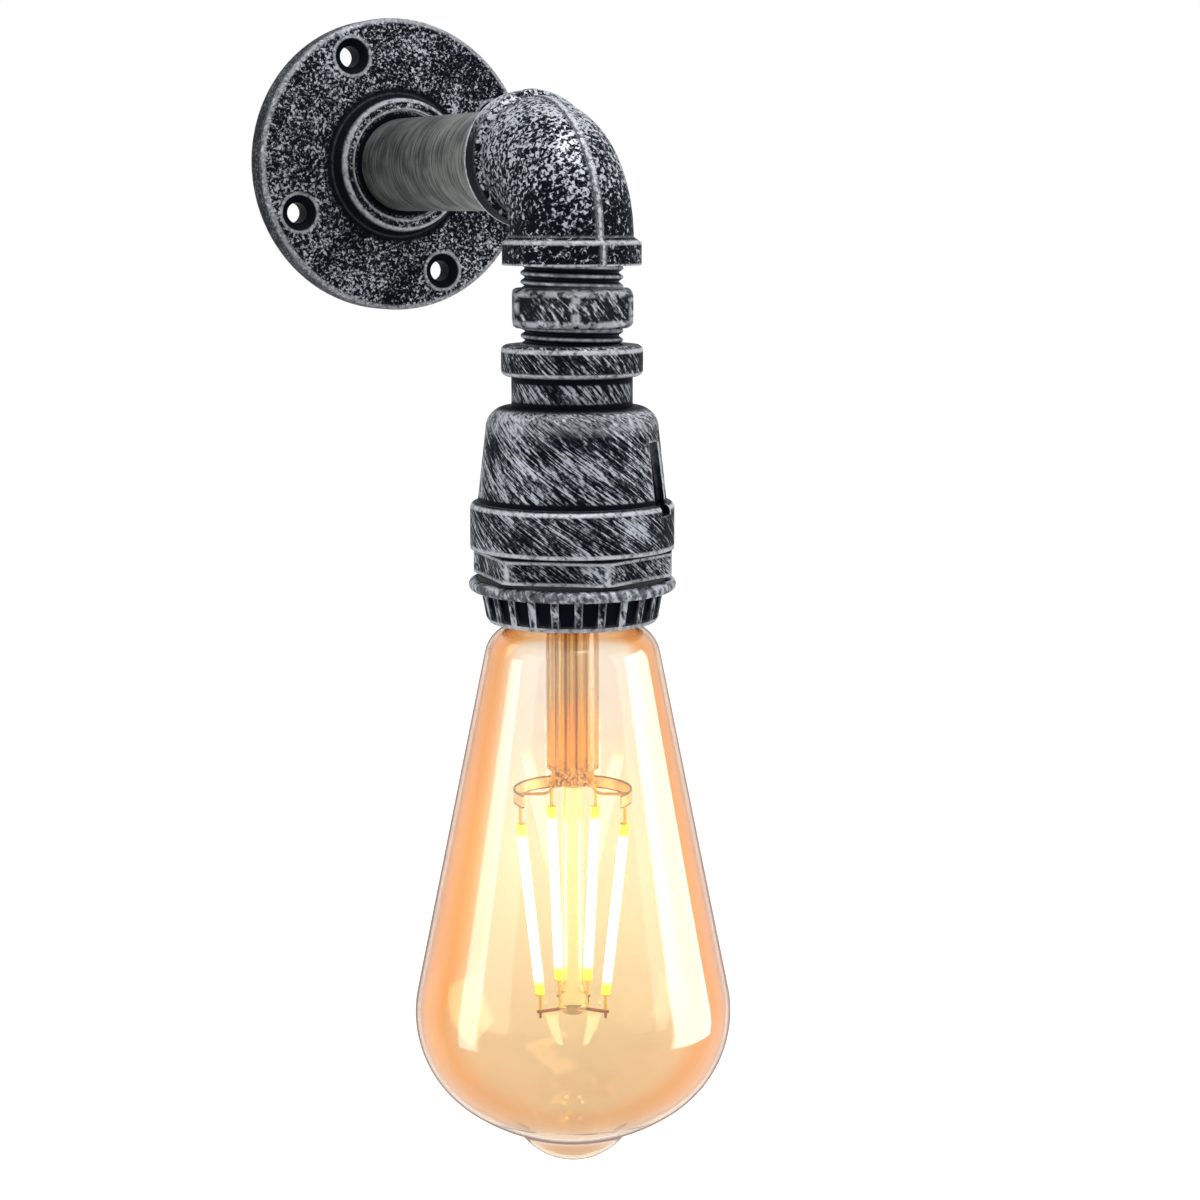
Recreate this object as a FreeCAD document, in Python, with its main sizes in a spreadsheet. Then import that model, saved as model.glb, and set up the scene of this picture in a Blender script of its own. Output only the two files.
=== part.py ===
import FreeCAD, Part
import math
import os
import re
import Sketcher
from FreeCAD import Placement, Rotation, Vector

# Industrial pipe wall light: wall flange, half-inch pipe, elbow, hex nipple, E27 holder and ST64 bulb.
# Millimetres. Origin: centre of the flange's back face on the wall; -Y into the room, +Z up.
# The lamp axis stands at y = -reach. Pieces on it are drawn about their own Z axis.

SIZES = (
    # wall flange
    ("flange_diameter", 67.6, "round floor flange"),
    ("flange_plate", 6.9, "thickness of the plate"),
    ("flange_edge", 1.2, "rounding of the plate's front edge"),
    ("bolt_edge", 6.7, "hole centre inside the flange's rim"),
    ("bolt_angle", 24.1, "first hole, from +X"),
    ("screw_hole", 4.8, "through hole for a wall screw"),
    ("countersink", 8.4, "mouth of the countersink"),
    ("hub_base", 33.0, "hub where it meets the plate"),
    ("hub_slope", 1.5, "how much its side slopes in"),
    ("hub_height", 4.4, "hub in front of the plate"),
    ("hub_lip", 2.2, "rim round the hub's sunk face"),
    ("hub_recess_depth", 1.0, "how far that face is sunk"),
    # half-inch pipe and its thread
    ("thread_major", 20.955, "half-inch pipe thread"),
    ("thread_fit", 0.02, "radial clearance of a tight thread"),
    ("pipe_outside", 21.3, "half-inch pipe"),
    ("pipe_wall", 2.6, "half-inch pipe"),
    ("thread_grip", 9.0, "thread engaged in a fitting"),
    ("pipe_setback", 1.5, "pipe end behind the flange's face on the wall"),
    # elbow
    ("reach", 98.6, "wall to lamp axis"),
    ("elbow_reach", 21.5, "centre to end of the elbow"),
    ("elbow_body", 25.2, "outside of the bend"),
    ("elbow_straight", 5.0, "straight run between bend and end"),
    ("elbow_wall", 4.0, "cast wall of the bend"),
    ("band_diameter", 28.4, "reinforcing band"),
    ("band_width", 4.6, "reinforcing band"),
    ("band_slope", 1.2, "slope from body to band"),
    ("seam_width", 1.3, "parting line"),
    ("seam_height", 0.4, "parting line"),
    ("root_depth", 0.5, "how deep a raised band is rooted in its casting"),
    # hex nipple
    ("nipple_top_gap", 4.6, "thread bare above the hexagon"),
    ("hex_flats", 24.0, "across flats"),
    ("hex_height", 8.0, "hexagon"),
    ("hex_angle", -23.0, "a corner, from -Y towards +X"),
    ("nipple_low_gap", 3.4, "thread bare below the hexagon"),
    ("nipple_wall", 3.18, "thread to bore of the nipple"),
    ("nipple_setback", 0.5, "nipple end before the end of a tapped hole"),
    # holder cap
    ("collar_diameter", 29.1, "collar at the top of the holder"),
    ("collar_height", 6.4, "collar"),
    ("collar_edge", 1.3, "rounding of the collar"),
    ("neck_diameter", 24.9, "neck below the collar"),
    ("neck_height", 6.1, "neck"),
    ("shoulder_radius", 4.6, "round shoulder of the dome"),
    ("dome_slope", 1.7, "how much the dome widens to the band"),
    ("dome_height", 19.6, "neck to band"),
    ("band_step", 1.6, "band proud of the dome"),
    ("band_wall", 2.6, "band outside the skirt's thread"),
    ("holder_band_height", 9.6, "band"),
    ("holder_band_edge", 1.3, "rounding of the band's upper edge"),
    ("cap_wall", 2.0, "cast wall"),
    ("cap_ceiling", 2.8, "cast wall over the cavity"),
    ("core_gap", 0.6, "cavity round the ceramic base"),
    ("mouth_flare", 1.6, "widening of the wire passage at the ceiling"),
    ("slot_width", 3.4, "upright slot in the dome"),
    ("slot_height", 14.6, "slot"),
    ("slot_depth", 1.3, "slot, below the dome at its base"),
    ("slot_drop", 1.9, "how far the slot runs into the band"),
    ("slot_angle", 38.5, "from -Y towards +X"),
    ("rib_width", 0.8, "rib beside the slot"),
    ("rib_height", 0.4, "rib"),
    # holder skirt
    ("hex_step", 1.6, "flats of the skirt's hexagon outside its thread"),
    ("corner_inset", 0.45, "turned corners of the hexagon inside the band"),
    ("skirt_hex_height", 5.6, "hexagon"),
    ("skirt_hex_angle", -6.3, "a corner, from -Y towards +X"),
    ("spigot_wall", 3.4, "skirt where it screws into the cap"),
    ("spigot_height", 7.6, "thread into the cap"),
    ("skirt_wall", 1.8, "skirt where it carries the shade ring"),
    ("skirt_clear", 0.3, "inside of the skirt round the ceramic base"),
    ("skirt_tail", 7.2, "threaded tail below the hexagon"),
    # shade ring and its washer
    ("washer_thickness", 0.8, "rubber washer"),
    ("washer_width", 2.3, "rubber washer"),
    ("washer_gap", 0.3, "washer round the thread"),
    ("ring_fit", 0.08, "running clearance of the ring's thread"),
    ("ring_flange_reach", 4.6, "flange of the shade ring outside its thread"),
    ("ring_flange_height", 2.4, "flange"),
    ("ring_top_wall", 2.05, "grip below the flange"),
    ("ring_low_wall", 0.5, "grip at its foot"),
    ("ring_low_round", 0.5, "easing of the grip's foot"),
    ("ring_grip_height", 6.4, "grip"),
    ("ring_mouth_lip", 0.6, "lip inside the foot"),
    ("ring_lip", 0.9, "plain lip below the recesses"),
    ("knurl_count", 24, "recesses round the grip"),
    ("knurl_width", 3.2, "recess"),
    ("knurl_depth", 1.0, "recess"),
    # socket
    ("base_wall", 1.27, "ceramic round the screw shell"),
    ("flange_step", 1.2, "ceramic flange inside the skirt's thread"),
    ("seat_fit", 0.1, "clearance of a piece dropped into its seat"),
    ("base_flange_height", 3.6, "flange"),
    ("base_height", 12.4, "ceramic base in all"),
    ("shell_bore", 26.36, "inside of the screw shell"),
    ("sheet", 0.35, "sheet of the screw shell"),
    ("shell_height", 19.5, "screw shell"),
    ("shell_turn_in", 4.68, "flange at the top of the shell"),
    ("tongue_width", 5.0, "centre contact"),
    ("tongue_sheet", 0.5, "centre contact"),
    # bulb
    ("cap_fit", 0.08, "running clearance of the lamp cap in the shell"),
    ("tip_rise", 5.3, "tip of the lamp cap above the skirt's top"),
    ("cap_tip_diameter", 9.4, "end contact"),
    ("cap_tip_height", 1.1, "end contact"),
    ("insulator_step", 1.5, "shell turned in over the black insulator"),
    ("insulator_height", 3.7, "insulator"),
    ("cap_height", 21.6, "shell of the lamp cap"),
    ("cap_sheet", 0.3, "sheet of the lamp cap"),
    ("glass_wall", 0.9, "wall of the bulb"),
    ("cement_gap", 0.5, "cement between the bulb's neck and the cap"),
    ("neck_grip", 6.0, "neck inside the cap"),
    ("shoulder_out", 66.0, "slope of the shoulder below the cap"),
    ("shoulder_flare", 2.9, "radius where the neck flares"),
    ("shoulder_round", 7.4, "radius of the shoulder"),
    ("cone_angle", 11.5, "half angle of the cone"),
    ("cone_length", 74.3, "straight cone"),
    ("belly_radius", 23.9, "round of the belly"),
    ("belly_turn", 51.5, "slope where the belly tightens"),
    ("bowl_radius", 40.0, "round of the bowl below it"),
    ("bowl_turn", 67.0, "slope at the foot of the bowl"),
    ("ogee_radius", 10.5, "hollow round above the tip"),
    ("ogee_turn", 38.0, "slope where the tip begins"),
    # inside the bulb
    ("stem_diameter", 11.0, "glass stem"),
    ("stem_wall", 0.9, "glass stem"),
    ("stem_length", 39.3, "glass stem"),
    ("exhaust_diameter", 5.0, "exhaust tube inside the stem"),
    ("exhaust_wall", 0.8, "exhaust tube"),
    ("pinch_height", 3.6, "flattened end of the stem"),
    ("pinch_width", 8.6, "flattened end"),
    ("rod_diameter", 4.4, "glass rod"),
    ("button_rise", 1.9, "foot of the rod above the support wires"),
    ("button_height", 2.9, "glass button"),
    ("button_diameter", 6.4, "glass button at the rod's foot"),
    ("strip_diameter", 25.0, "round on which the upper strips lie"),
    ("strip_height", 2.7, "upper strip"),
    ("strip_sheet", 0.4, "upper strip"),
    ("strip_drop", 0.8, "strips below the pinch"),
    ("filament_length", 38.0, "filament"),
    ("filament_diameter", 2.0, "filament"),
    ("filament_top", 11.8, "radius of the filaments' upper ends"),
    ("filament_foot", 7.5, "radius of their lower ends"),
    ("upper_pin", 3.9, "strip to filament"),
    ("lower_pin", 3.4, "filament to support wires"),
    ("frame_angle", -27.1, "front of the filaments' frame, from -Y towards +X"),
    ("front_filament", 67, "front filaments, degrees to each side of the front"),
    ("back_filament", 24, "back filaments, degrees to each side of the back"),
    ("strip_start", 55, "front ends of both strips, degrees from the front"),
    ("strip_gap_turn", 15.5, "gap between their back ends, degrees from the back"),
    ("strip_gap", 7.0, "that gap, degrees"),
    ("lead_diameter", 0.7, "lead wires in the bulb"),
    ("stub_length", 1.4, "stubs under the support wires"),
    ("stub_diameter", 0.6, "stubs under the support wires"),
    ("weld_diameter", 2.4, "bead where the support wires meet"),
    # terminals, screws and tongue
    ("shell_clear", 0.8, "shell top below the lamp's tip"),
    ("well_depth", 4.4, "well over the lamp's tip"),
    ("block_height", 5.6, "terminal block"),
    ("block_width", 5.6, "terminal block"),
    ("block_depth", 3.2, "terminal block, across the socket"),
    ("block_edge", 2.2, "block's outer face inside the ceramic"),
    ("block_foot", 0.5, "lug under the live block"),
    ("lug_root", 1.0, "how far that lug runs under the block"),
    ("foot_length", 2.4, "leg from the neutral block to the shell"),
    ("tongue_tail", 2.0, "bend line of the tongue inside the block"),
    ("pad_length", 3.0, "flat of the tongue from the axis"),
    ("contact_gap", 0.05, "tongue above the tip"),
    ("wire_hole_inset", 1.3, "wire hole from the block's inner face"),
    ("clamp_drop", 2.8, "clamp screw below the ceramic's top"),
    ("clamp_shank", 2.4, "clamp screw"),
    ("clamp_head", 4.0, "clamp screw"),
    ("clamp_head_height", 1.3, "clamp screw"),
    ("screw_slot", 0.7, "slot in a screw's head"),
    ("fixing_inset", 2.18, "fixing screw inside the shell's wall"),
    ("fixing_shank", 2.4, "fixing screw"),
    ("fixing_length", 5.0, "fixing screw"),
    ("fixing_head", 3.8, "fixing screw"),
    ("fixing_head_height", 0.9, "fixing screw"),
    ("earth_inset", 3.01, "earth screw outside the wire passage"),
    ("earth_length", 5.0, "earth screw"),
    ("tag_width", 5.0, "earth tag"),
    ("tag_sheet", 0.6, "earth tag"),
    ("plug_height", 1.3, "plug of the lamp's insulator"),
    ("neck_clear", 0.6, "straight neck below the cap's rim"),
    ("cement_rim", 0.3, "cement inside the cap's rim"),
    ("tip_edge", 0.4, "easing of the end contact"),
    ("board_width", 19.0, "driver board"),
    ("board_height", 13.0, "driver board"),
    ("board_sheet", 1.2, "driver board"),
    ("capacitor_diameter", 5.6, "capacitor"),
    ("capacitor_height", 9.0, "capacitor"),
    ("chip_width", 5.0, "rectifier"),
    ("chip_depth", 1.7, "rectifier"),
    ("pinch_depth", 3.2, "flattened end of the stem"),
    # wiring
    ("wire_diameter", 2.2, "insulated wire"),
    ("wire_spread", 3.0, "wire from the pipe's axis"),
)

# Sizes that follow from the ones above.
FORMS = {
    "bolt_circle": "flange_diameter - 2 * bolt_edge",
    "hub_rim": "hub_base - 2 * hub_slope",
    "hub_recess": "hub_rim - 2 * hub_lip",
    "pipe_bore": "pipe_outside - 2 * pipe_wall",
    "nipple_bore": "thread_major - 2 * nipple_wall",
    "elbow_bend": "elbow_reach - elbow_straight",
    "elbow_bore": "elbow_body - 2 * elbow_wall",
    # outwards from the screw shell to the holder's band
    "base_diameter": "shell_bore + 2 * (sheet + base_wall)",
    "skirt_bore": "base_diameter + 2 * skirt_clear",
    "skirt_thread": "skirt_bore + 2 * skirt_wall",
    "skirt_flats": "skirt_thread + 2 * hex_step",
    "spigot_diameter": "skirt_bore + 2 * spigot_wall",
    "base_flange": "spigot_diameter - 2 * flange_step",
    "holder_band": "spigot_diameter + 2 * band_wall",
    "skirt_corner": "holder_band - 2 * corner_inset",
    "dome_base": "holder_band - 2 * band_step",
    "dome_top": "dome_base - 2 * dome_slope",
    "washer_bore": "skirt_thread + 2 * washer_gap",
    "washer_diameter": "washer_bore + 2 * washer_width",
    "ring_bore": "skirt_thread + 2 * ring_fit",
    "ring_flange": "skirt_thread + 2 * ring_flange_reach",
    "ring_top": "skirt_thread + 2 * ring_top_wall",
    "ring_low": "skirt_thread + 2 * ring_low_wall",
    "ring_mouth": "skirt_thread - 2 * ring_mouth_lip",
    "shell_eye": "shell_bore - 2 * shell_turn_in",
    "screw_circle": "shell_bore - 2 * fixing_inset",
    "block_reach": "base_diameter / 2 - block_edge",
    "block_inset": "block_reach - block_depth",
    "wire_hole_place": "block_inset + wire_hole_inset",
    "tongue_root": "block_inset - tongue_tail",
    "earth_place": "nipple_bore / 2 + earth_inset",
    # inwards from the screw shell to the bulb's neck
    "cap_outside": "shell_bore - 2 * cap_fit",
    "cap_inside": "cap_outside - 2 * cap_sheet",
    "insulator_diameter": "cap_inside - 2 * insulator_step",
    "glass_neck": "cap_inside - 2 * cement_gap",
    # downwards from the pipe's axis
    "holder_drop": "elbow_reach + nipple_top_gap + hex_height + nipple_low_gap",
    "cap_drop": "holder_drop + collar_height + neck_height + dome_height + holder_band_height",
    "cap_tip_level": "cap_drop - spigot_height - tip_rise",
    "cap_rim_level": "cap_tip_level + cap_tip_height + insulator_height + cap_height",
    "stem_foot": "cap_rim_level - neck_grip + stem_length",
    "strip_level": "stem_foot + pinch_height + strip_drop",
    "filament_start": "strip_level + strip_height + upper_pin",
    "spider_level": "filament_start + filament_length + lower_pin",
    "rod_foot": "spider_level - button_rise",
}

doc = FreeCAD.newDocument("pipe_wall_light")
sheet = doc.addObject("Spreadsheet::Sheet", "Sizes")
for row, (alias, value, meaning) in enumerate(SIZES, start=1):
    sheet.set(f"A{row}", alias)
    sheet.set(f"B{row}", str(value))
    sheet.set(f"C{row}", meaning)
    sheet.setAlias(f"B{row}", alias)
doc.recompute()


# ---------------------------------------------------------------- helpers

ALIASES = re.compile(r"\b(" + "|".join(alias for alias, _, _ in SIZES) + r")\b")
FORM_NAMES = re.compile(r"\b(" + "|".join(FORMS) + r")\b")
X_AXIS = Vector(1, 0, 0)
Y_AXIS = Vector(0, 1, 0)
Z_AXIS = Vector(0, 0, 1)
ORIGIN = Vector(0, 0, 0)
# A sketch's own geometry: its origin is point 1 of number -1, its axes are numbers -1 (level) and -2.
SKETCH_ORIGIN = (-1, 1)
TINY = 1e-9
SAME_POINT = 1e-6


def cells(text):
    """A formula in named sizes, written out in the sheet's aliases so that any object can hold it."""
    text = str(text)
    while FORM_NAMES.search(text):
        text = FORM_NAMES.sub(lambda found: f"({FORMS[found.group(1)]})", text)
    return ALIASES.sub(r"Sizes.\1", text)


def size(text):
    """The present value of such a formula."""
    return float(sheet.evalExpression(cells(text)))


def bind(item, **formulas):
    """Ties properties of an object to formulas in the sheet's aliases."""
    for name, text in formulas.items():
        item.setExpression(name, cells(text))


def place(item, x="0", y="0", z="0", turn=None):
    """Ties an object's place to the sheet; turn is an (axis, degrees formula) pair."""
    bind(item, **{"Placement.Base.x": x, "Placement.Base.y": y, "Placement.Base.z": z})
    if turn:
        axis, degrees = turn
        item.Placement = Placement(item.Placement.Base, Rotation(axis, 90))
        item.setExpression("Placement.Rotation.Angle", cells(degrees))


def body(label):
    made = doc.addObject("PartDesign::Body", label)
    made.Label = label
    return made


def plane(owner, role):
    return next(item for item in owner.Origin.OriginFeatures if item.Role == role)


def sketch(owner, role, height="0"):
    """A sketch on one of the body's own planes, raised off it by a formula."""
    made = owner.newObject("Sketcher::SketchObject", owner.Label + "_sketch")
    made.AttachmentSupport = [(plane(owner, role), "")]
    made.MapMode = "FlatFace"
    made.setExpression("AttachmentOffset.Base.z", cells(height))
    return made


def fix(drawing, geometry, point, across, up):
    """Holds a point of the sketch at two formulas measured from the sketch's origin."""
    for kind, text, axis in (("DistanceX", across, -2), ("DistanceY", up, -1)):
        value = size(text)
        if abs(value) < TINY:
            drawing.addConstraint(Sketcher.Constraint("PointOnObject", geometry, point, axis))
            continue
        ends = SKETCH_ORIGIN + (geometry, point) if value > 0 else (geometry, point) + SKETCH_ORIGIN
        index = drawing.addConstraint(Sketcher.Constraint(kind, *ends, abs(value)))
        signed = text if value > 0 else f"-({text})"
        drawing.setExpression(f"Constraints[{index}]", cells(signed))


def arc_through(start, end, radius):
    """The short arc from start to end; a positive radius keeps its centre on the left."""
    chord = end - start
    left = Vector(-chord.y, chord.x, 0).normalize()
    half = chord.Length / 2
    rise = math.sqrt(max(radius * radius - half * half, 0))
    side = math.copysign(1, radius)
    centre = start + chord / 2 + left * rise * side
    middle = centre - left * abs(radius) * side
    return Part.Arc(start, middle, end)


def outline(drawing, corners):
    """A closed outline. Each corner is (across, up), with the radius of an arc to the next if it has one."""
    points = [Vector(size(corner[0]), size(corner[1]), 0) for corner in corners]
    ends = []
    for index, corner in enumerate(corners):
        start, end = points[index], points[(index + 1) % len(corners)]
        if len(corner) == 2:
            edge = drawing.addGeometry(Part.LineSegment(start, end), False)
            ends.append((edge, 1, 2))
            continue
        radius = size(corner[2])
        edge = drawing.addGeometry(arc_through(start, end, radius), False)
        forward = drawing.getPoint(edge, 1).distanceToPoint(start) < SAME_POINT
        ends.append((edge, 1, 2) if forward else (edge, 2, 1))
        index_of_radius = drawing.addConstraint(Sketcher.Constraint("Radius", edge, abs(radius)))
        sign = "" if radius > 0 else "-"
        drawing.setExpression(f"Constraints[{index_of_radius}]", cells(f"{sign}({corner[2]})"))
    for index, corner in enumerate(corners):
        edge, first, _ = ends[index]
        before, _, last = ends[index - 1]
        drawing.addConstraint(Sketcher.Constraint("Coincident", before, last, edge, first))
        fix(drawing, edge, first, corner[0], corner[1])


def oblong(drawing, near, far, half):
    """A rectangle from near to far along the first axis, and half to each side of it."""
    outline(drawing, [(near, f"-({half})"), (far, f"-({half})"), (far, half), (near, half)])


def circle(drawing, across, up, radius):
    """A circle in a sketch; its centre and radius are formulas."""
    centre = Vector(size(across), size(up), 0)
    edge = drawing.addGeometry(Part.Circle(centre, Z_AXIS, size(radius)), False)
    index = drawing.addConstraint(Sketcher.Constraint("Radius", edge, size(radius)))
    drawing.setExpression(f"Constraints[{index}]", cells(radius))
    fix(drawing, edge, 3, across, up)


def revolved(owner, corners, feature="PartDesign::Revolution"):
    """Turns an outline of (radius, height) corners round the body's own Z axis."""
    drawing = sketch(owner, "XZ_Plane")
    outline(drawing, corners)
    made = owner.newObject(feature, owner.Label + "_turned")
    made.Profile = drawing
    made.ReferenceAxis = (drawing, ["V_Axis"])
    made.Angle = 360
    return made


def extruded(owner, drawing, length, feature="PartDesign::Pad", midplane=False, reverse=False):
    made = owner.newObject(feature, owner.Label + "_straight")
    made.Profile = drawing
    made.setExpression("Length", cells(length))
    made.Midplane = midplane
    made.Reversed = reverse
    return made


def patterned(owner, feature, count):
    """Repeats a feature evenly round the body's own Z axis."""
    made = owner.newObject("PartDesign::PolarPattern", owner.Label + "_pattern")
    made.Originals = [feature]
    made.Axis = (plane(owner, "Z_Axis"), [""])
    made.Angle = 360
    bind(made, Occurrences=count)
    owner.Tip = made
    return made


def hexagon(drawing, flats):
    """A regular hexagon with a corner on the sketch's negative second axis."""
    corner = f"({flats}) / sqrt(3)"
    outline(drawing, [(f"{corner} * {round(math.sin(math.radians(60 * k)), 9)}",
                       f"-{corner} * {round(math.cos(math.radians(60 * k)), 9)}") for k in range(6)])


def cylinder(label, radius, height, z="0", x="0", y="0"):
    made = doc.addObject("Part::Cylinder", label)
    bind(made, Radius=radius, Height=height)
    place(made, x, y, z)
    return made


def box(label, length, width, height, x="0", y="0", z="0"):
    made = doc.addObject("Part::Box", label)
    bind(made, Length=length, Width=width, Height=height)
    place(made, x, y, z)
    return made


def joined(label, pieces):
    made = doc.addObject("Part::MultiFuse", label)
    made.Shapes = pieces
    made.Label = label
    return made


def cut(label, base, tool):
    made = doc.addObject("Part::Cut", label)
    made.Base = base
    made.Tool = tool
    made.Label = label
    return made


LAMP_Y = "-reach"
TAPPED = "thread_major / 2 + thread_fit"


# ---------------------------------------------------------------- on the wall

# Local Z of these bodies points into the room: a quarter turn about X lays it along -Y.
INTO_ROOM = (X_AXIS, "90")


def wall_flange():
    """Cast plate with four countersunk holes and a low threaded hub with a sunk face."""
    made = body("wall_flange")
    front = "flange_plate + hub_height"
    revolved(made, [
        (TAPPED, "0"),
        ("flange_diameter / 2", "0"),
        ("flange_diameter / 2", "flange_plate - flange_edge", "flange_edge"),
        ("flange_diameter / 2 - flange_edge", "flange_plate"),
        ("hub_base / 2", "flange_plate"),
        ("hub_rim / 2", front),
        ("hub_recess / 2", front),
        ("hub_recess / 2", f"{front} - hub_recess_depth"),
        (TAPPED, f"{front} - hub_recess_depth"),
    ])
    drilled = sketch(made, "XY_Plane", "flange_plate")
    radius = "bolt_circle / 2"
    circle(drilled, f"{radius} * cos(bolt_angle)", f"{radius} * sin(bolt_angle)", "screw_hole / 2")
    doc.recompute()
    hole = made.newObject("PartDesign::Hole", "wall_flange_hole")
    hole.Profile = drilled
    hole.DepthType = "ThroughAll"
    hole.HoleCutType = "Countersink"
    bind(hole, Diameter="screw_hole", HoleCutDiameter="countersink")
    hole.HoleCutCountersinkAngle = 90
    doc.recompute()
    patterned(made, hole, "4")
    place(made, turn=INTO_ROOM)
    return made


def wall_pipe():
    """Plain pipe with a screwed end in the flange and another in the elbow."""
    made = body("wall_pipe")
    flange_end = "flange_plate + hub_height - hub_recess_depth"
    elbow_face = "reach - elbow_reach"
    far_end = f"{elbow_face} + thread_grip"
    revolved(made, [
        ("pipe_bore / 2", "pipe_setback"),
        ("thread_major / 2", "pipe_setback"),
        ("thread_major / 2", flange_end),
        ("pipe_outside / 2", f"{flange_end} + (pipe_outside - thread_major) / 2"),
        ("pipe_outside / 2", f"{elbow_face} - (pipe_outside - thread_major) / 2"),
        ("thread_major / 2", elbow_face),
        ("thread_major / 2", far_end),
        ("pipe_bore / 2", far_end),
    ])
    place(made, turn=INTO_ROOM)
    return made


def bend_path(drawing):
    """Centre line of the elbow in its own plane: from the wall side, round, and down."""
    start = Vector(size("elbow_reach"), 0, 0)
    turn_in = Vector(size("elbow_bend"), 0, 0)
    turn_out = Vector(0, -size("elbow_bend"), 0)
    end = Vector(0, -size("elbow_reach"), 0)
    level = drawing.addGeometry(Part.LineSegment(start, turn_in), False)
    bend = drawing.addGeometry(arc_through(turn_in, turn_out, size("elbow_bend")), False)
    upright = drawing.addGeometry(Part.LineSegment(turn_out, end), False)
    drawing.addConstraint(Sketcher.Constraint("Coincident", level, 2, bend, 1))
    drawing.addConstraint(Sketcher.Constraint("Coincident", bend, 2, upright, 1))
    fix(drawing, level, 1, "elbow_reach", "0")
    fix(drawing, bend, 1, "elbow_bend", "0")
    fix(drawing, bend, 2, "0", "-elbow_bend")
    fix(drawing, upright, 2, "0", "-elbow_reach")
    radius = drawing.addConstraint(Sketcher.Constraint("Radius", bend, size("elbow_bend")))
    drawing.setExpression(f"Constraints[{radius}]", cells("elbow_bend"))


def swept(owner, radius, feature):
    """A round section carried along the elbow's centre line, from its lower end."""
    path = sketch(owner, "YZ_Plane")
    bend_path(path)
    section = sketch(owner, "XY_Plane", "-elbow_reach")
    circle(section, "0", "0", radius)
    made = owner.newObject(feature, owner.Label + "_swept")
    made.Profile = section
    made.Spine = (path, [])
    return made


def both_ends(owner, corners, feature):
    """A round feature on each end of the elbow, by its (radius, distance from centre) corners."""
    ends = (
        ("H_Axis", [(along, radius) for radius, along in corners]),
        ("V_Axis", [(radius, f"-({along})") for radius, along in corners]),
    )
    for axis, placed in ends:
        drawing = sketch(owner, "YZ_Plane")
        outline(drawing, placed)
        made = owner.newObject(feature, owner.Label + "_end")
        made.Profile = drawing
        made.ReferenceAxis = (drawing, [axis])
        made.Angle = 360


def pipe_elbow():
    """Cast elbow: bend, a reinforcing band at each end, and the parting line down its middle."""
    made = body("pipe_elbow")
    swept(made, "elbow_body / 2", "PartDesign::AdditivePipe")
    root = "elbow_body / 2 - root_depth"
    both_ends(made, [
        ("0", "elbow_reach"),
        ("band_diameter / 2", "elbow_reach"),
        ("band_diameter / 2", "elbow_reach - band_width"),
        ("elbow_body / 2 - seat_fit", "elbow_reach - band_width - band_slope"),
        ("0", "elbow_reach - band_width - band_slope"),
    ], "PartDesign::Revolution")
    seam = sketch(made, "YZ_Plane")
    crest = "elbow_body / 2 + seam_height"
    rim = "band_diameter / 2 + seam_height / 2"
    outline(seam, [
        ("elbow_reach", rim),
        ("elbow_reach - band_width", rim),
        ("elbow_bend", crest, f"elbow_bend + {crest}"),
        (f"-({crest})", "-elbow_bend"),
        (f"-({rim})", "band_width - elbow_reach"),
        (f"-({rim})", "-elbow_reach"),
        (f"-({root})", "-elbow_reach"),
        (f"-({root})", "-elbow_bend", f"-(elbow_bend + {root})"),
        ("elbow_bend", root),
        ("elbow_reach", root),
    ])
    extruded(made, seam, "seam_width", midplane=True)
    swept(made, "elbow_bore / 2", "PartDesign::SubtractivePipe")
    both_ends(made, [
        ("0", "elbow_reach + root_depth"),
        (TAPPED, "elbow_reach + root_depth"),
        (TAPPED, "elbow_reach - thread_grip"),
        ("0", "elbow_reach - thread_grip"),
    ], "PartDesign::Groove")
    place(made, y=LAMP_Y)
    return made


# ---------------------------------------------------------------- the drop to the holder

ELBOW_FACE = "-elbow_reach"
HEX_TOP = f"{ELBOW_FACE} - nipple_top_gap"
HEX_FOOT = f"{HEX_TOP} - hex_height"
HOLDER_TOP = f"{HEX_FOOT} - nipple_low_gap"


def hex_nipple():
    """Two short threads with a hexagon between, its corners turned down to a chamfer."""
    made = body("hex_nipple")
    top = f"{ELBOW_FACE} + thread_grip - nipple_setback"
    foot = f"{HOLDER_TOP} - thread_grip + nipple_setback"
    revolved(made, [
        ("nipple_bore / 2", foot),
        ("thread_major / 2", foot),
        ("thread_major / 2", top),
        ("nipple_bore / 2", top),
    ])
    flats = sketch(made, "XY_Plane", HEX_FOOT)
    hexagon(flats, "hex_flats")
    circle(flats, "0", "0", "nipple_bore / 2")
    extruded(made, flats, "hex_height")
    doc.recompute()
    corner = "hex_flats / sqrt(3) + root_depth"
    face = "hex_flats / 2 - root_depth"
    drop = f"({corner} - ({face})) * tan(30)"
    for edge, sign in ((HEX_TOP, "-"), (HEX_FOOT, "+")):
        revolved(made, [
            (face, edge),
            (corner, edge),
            (corner, f"{edge} {sign} {drop}"),
        ], "PartDesign::Groove")
    place(made, y=LAMP_Y, turn=(Z_AXIS, "hex_angle"))
    return made


DOME_TOP = f"{HOLDER_TOP} - collar_height - neck_height"
CEILING = f"{DOME_TOP} - cap_ceiling"
BAND_TOP = f"{DOME_TOP} - dome_height"
CAP_FOOT = f"{BAND_TOP} - holder_band_height"
SPIGOT_TOP = f"{CAP_FOOT} + spigot_height"
CORE_TOP = f"{SPIGOT_TOP} + base_flange_height"


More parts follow.
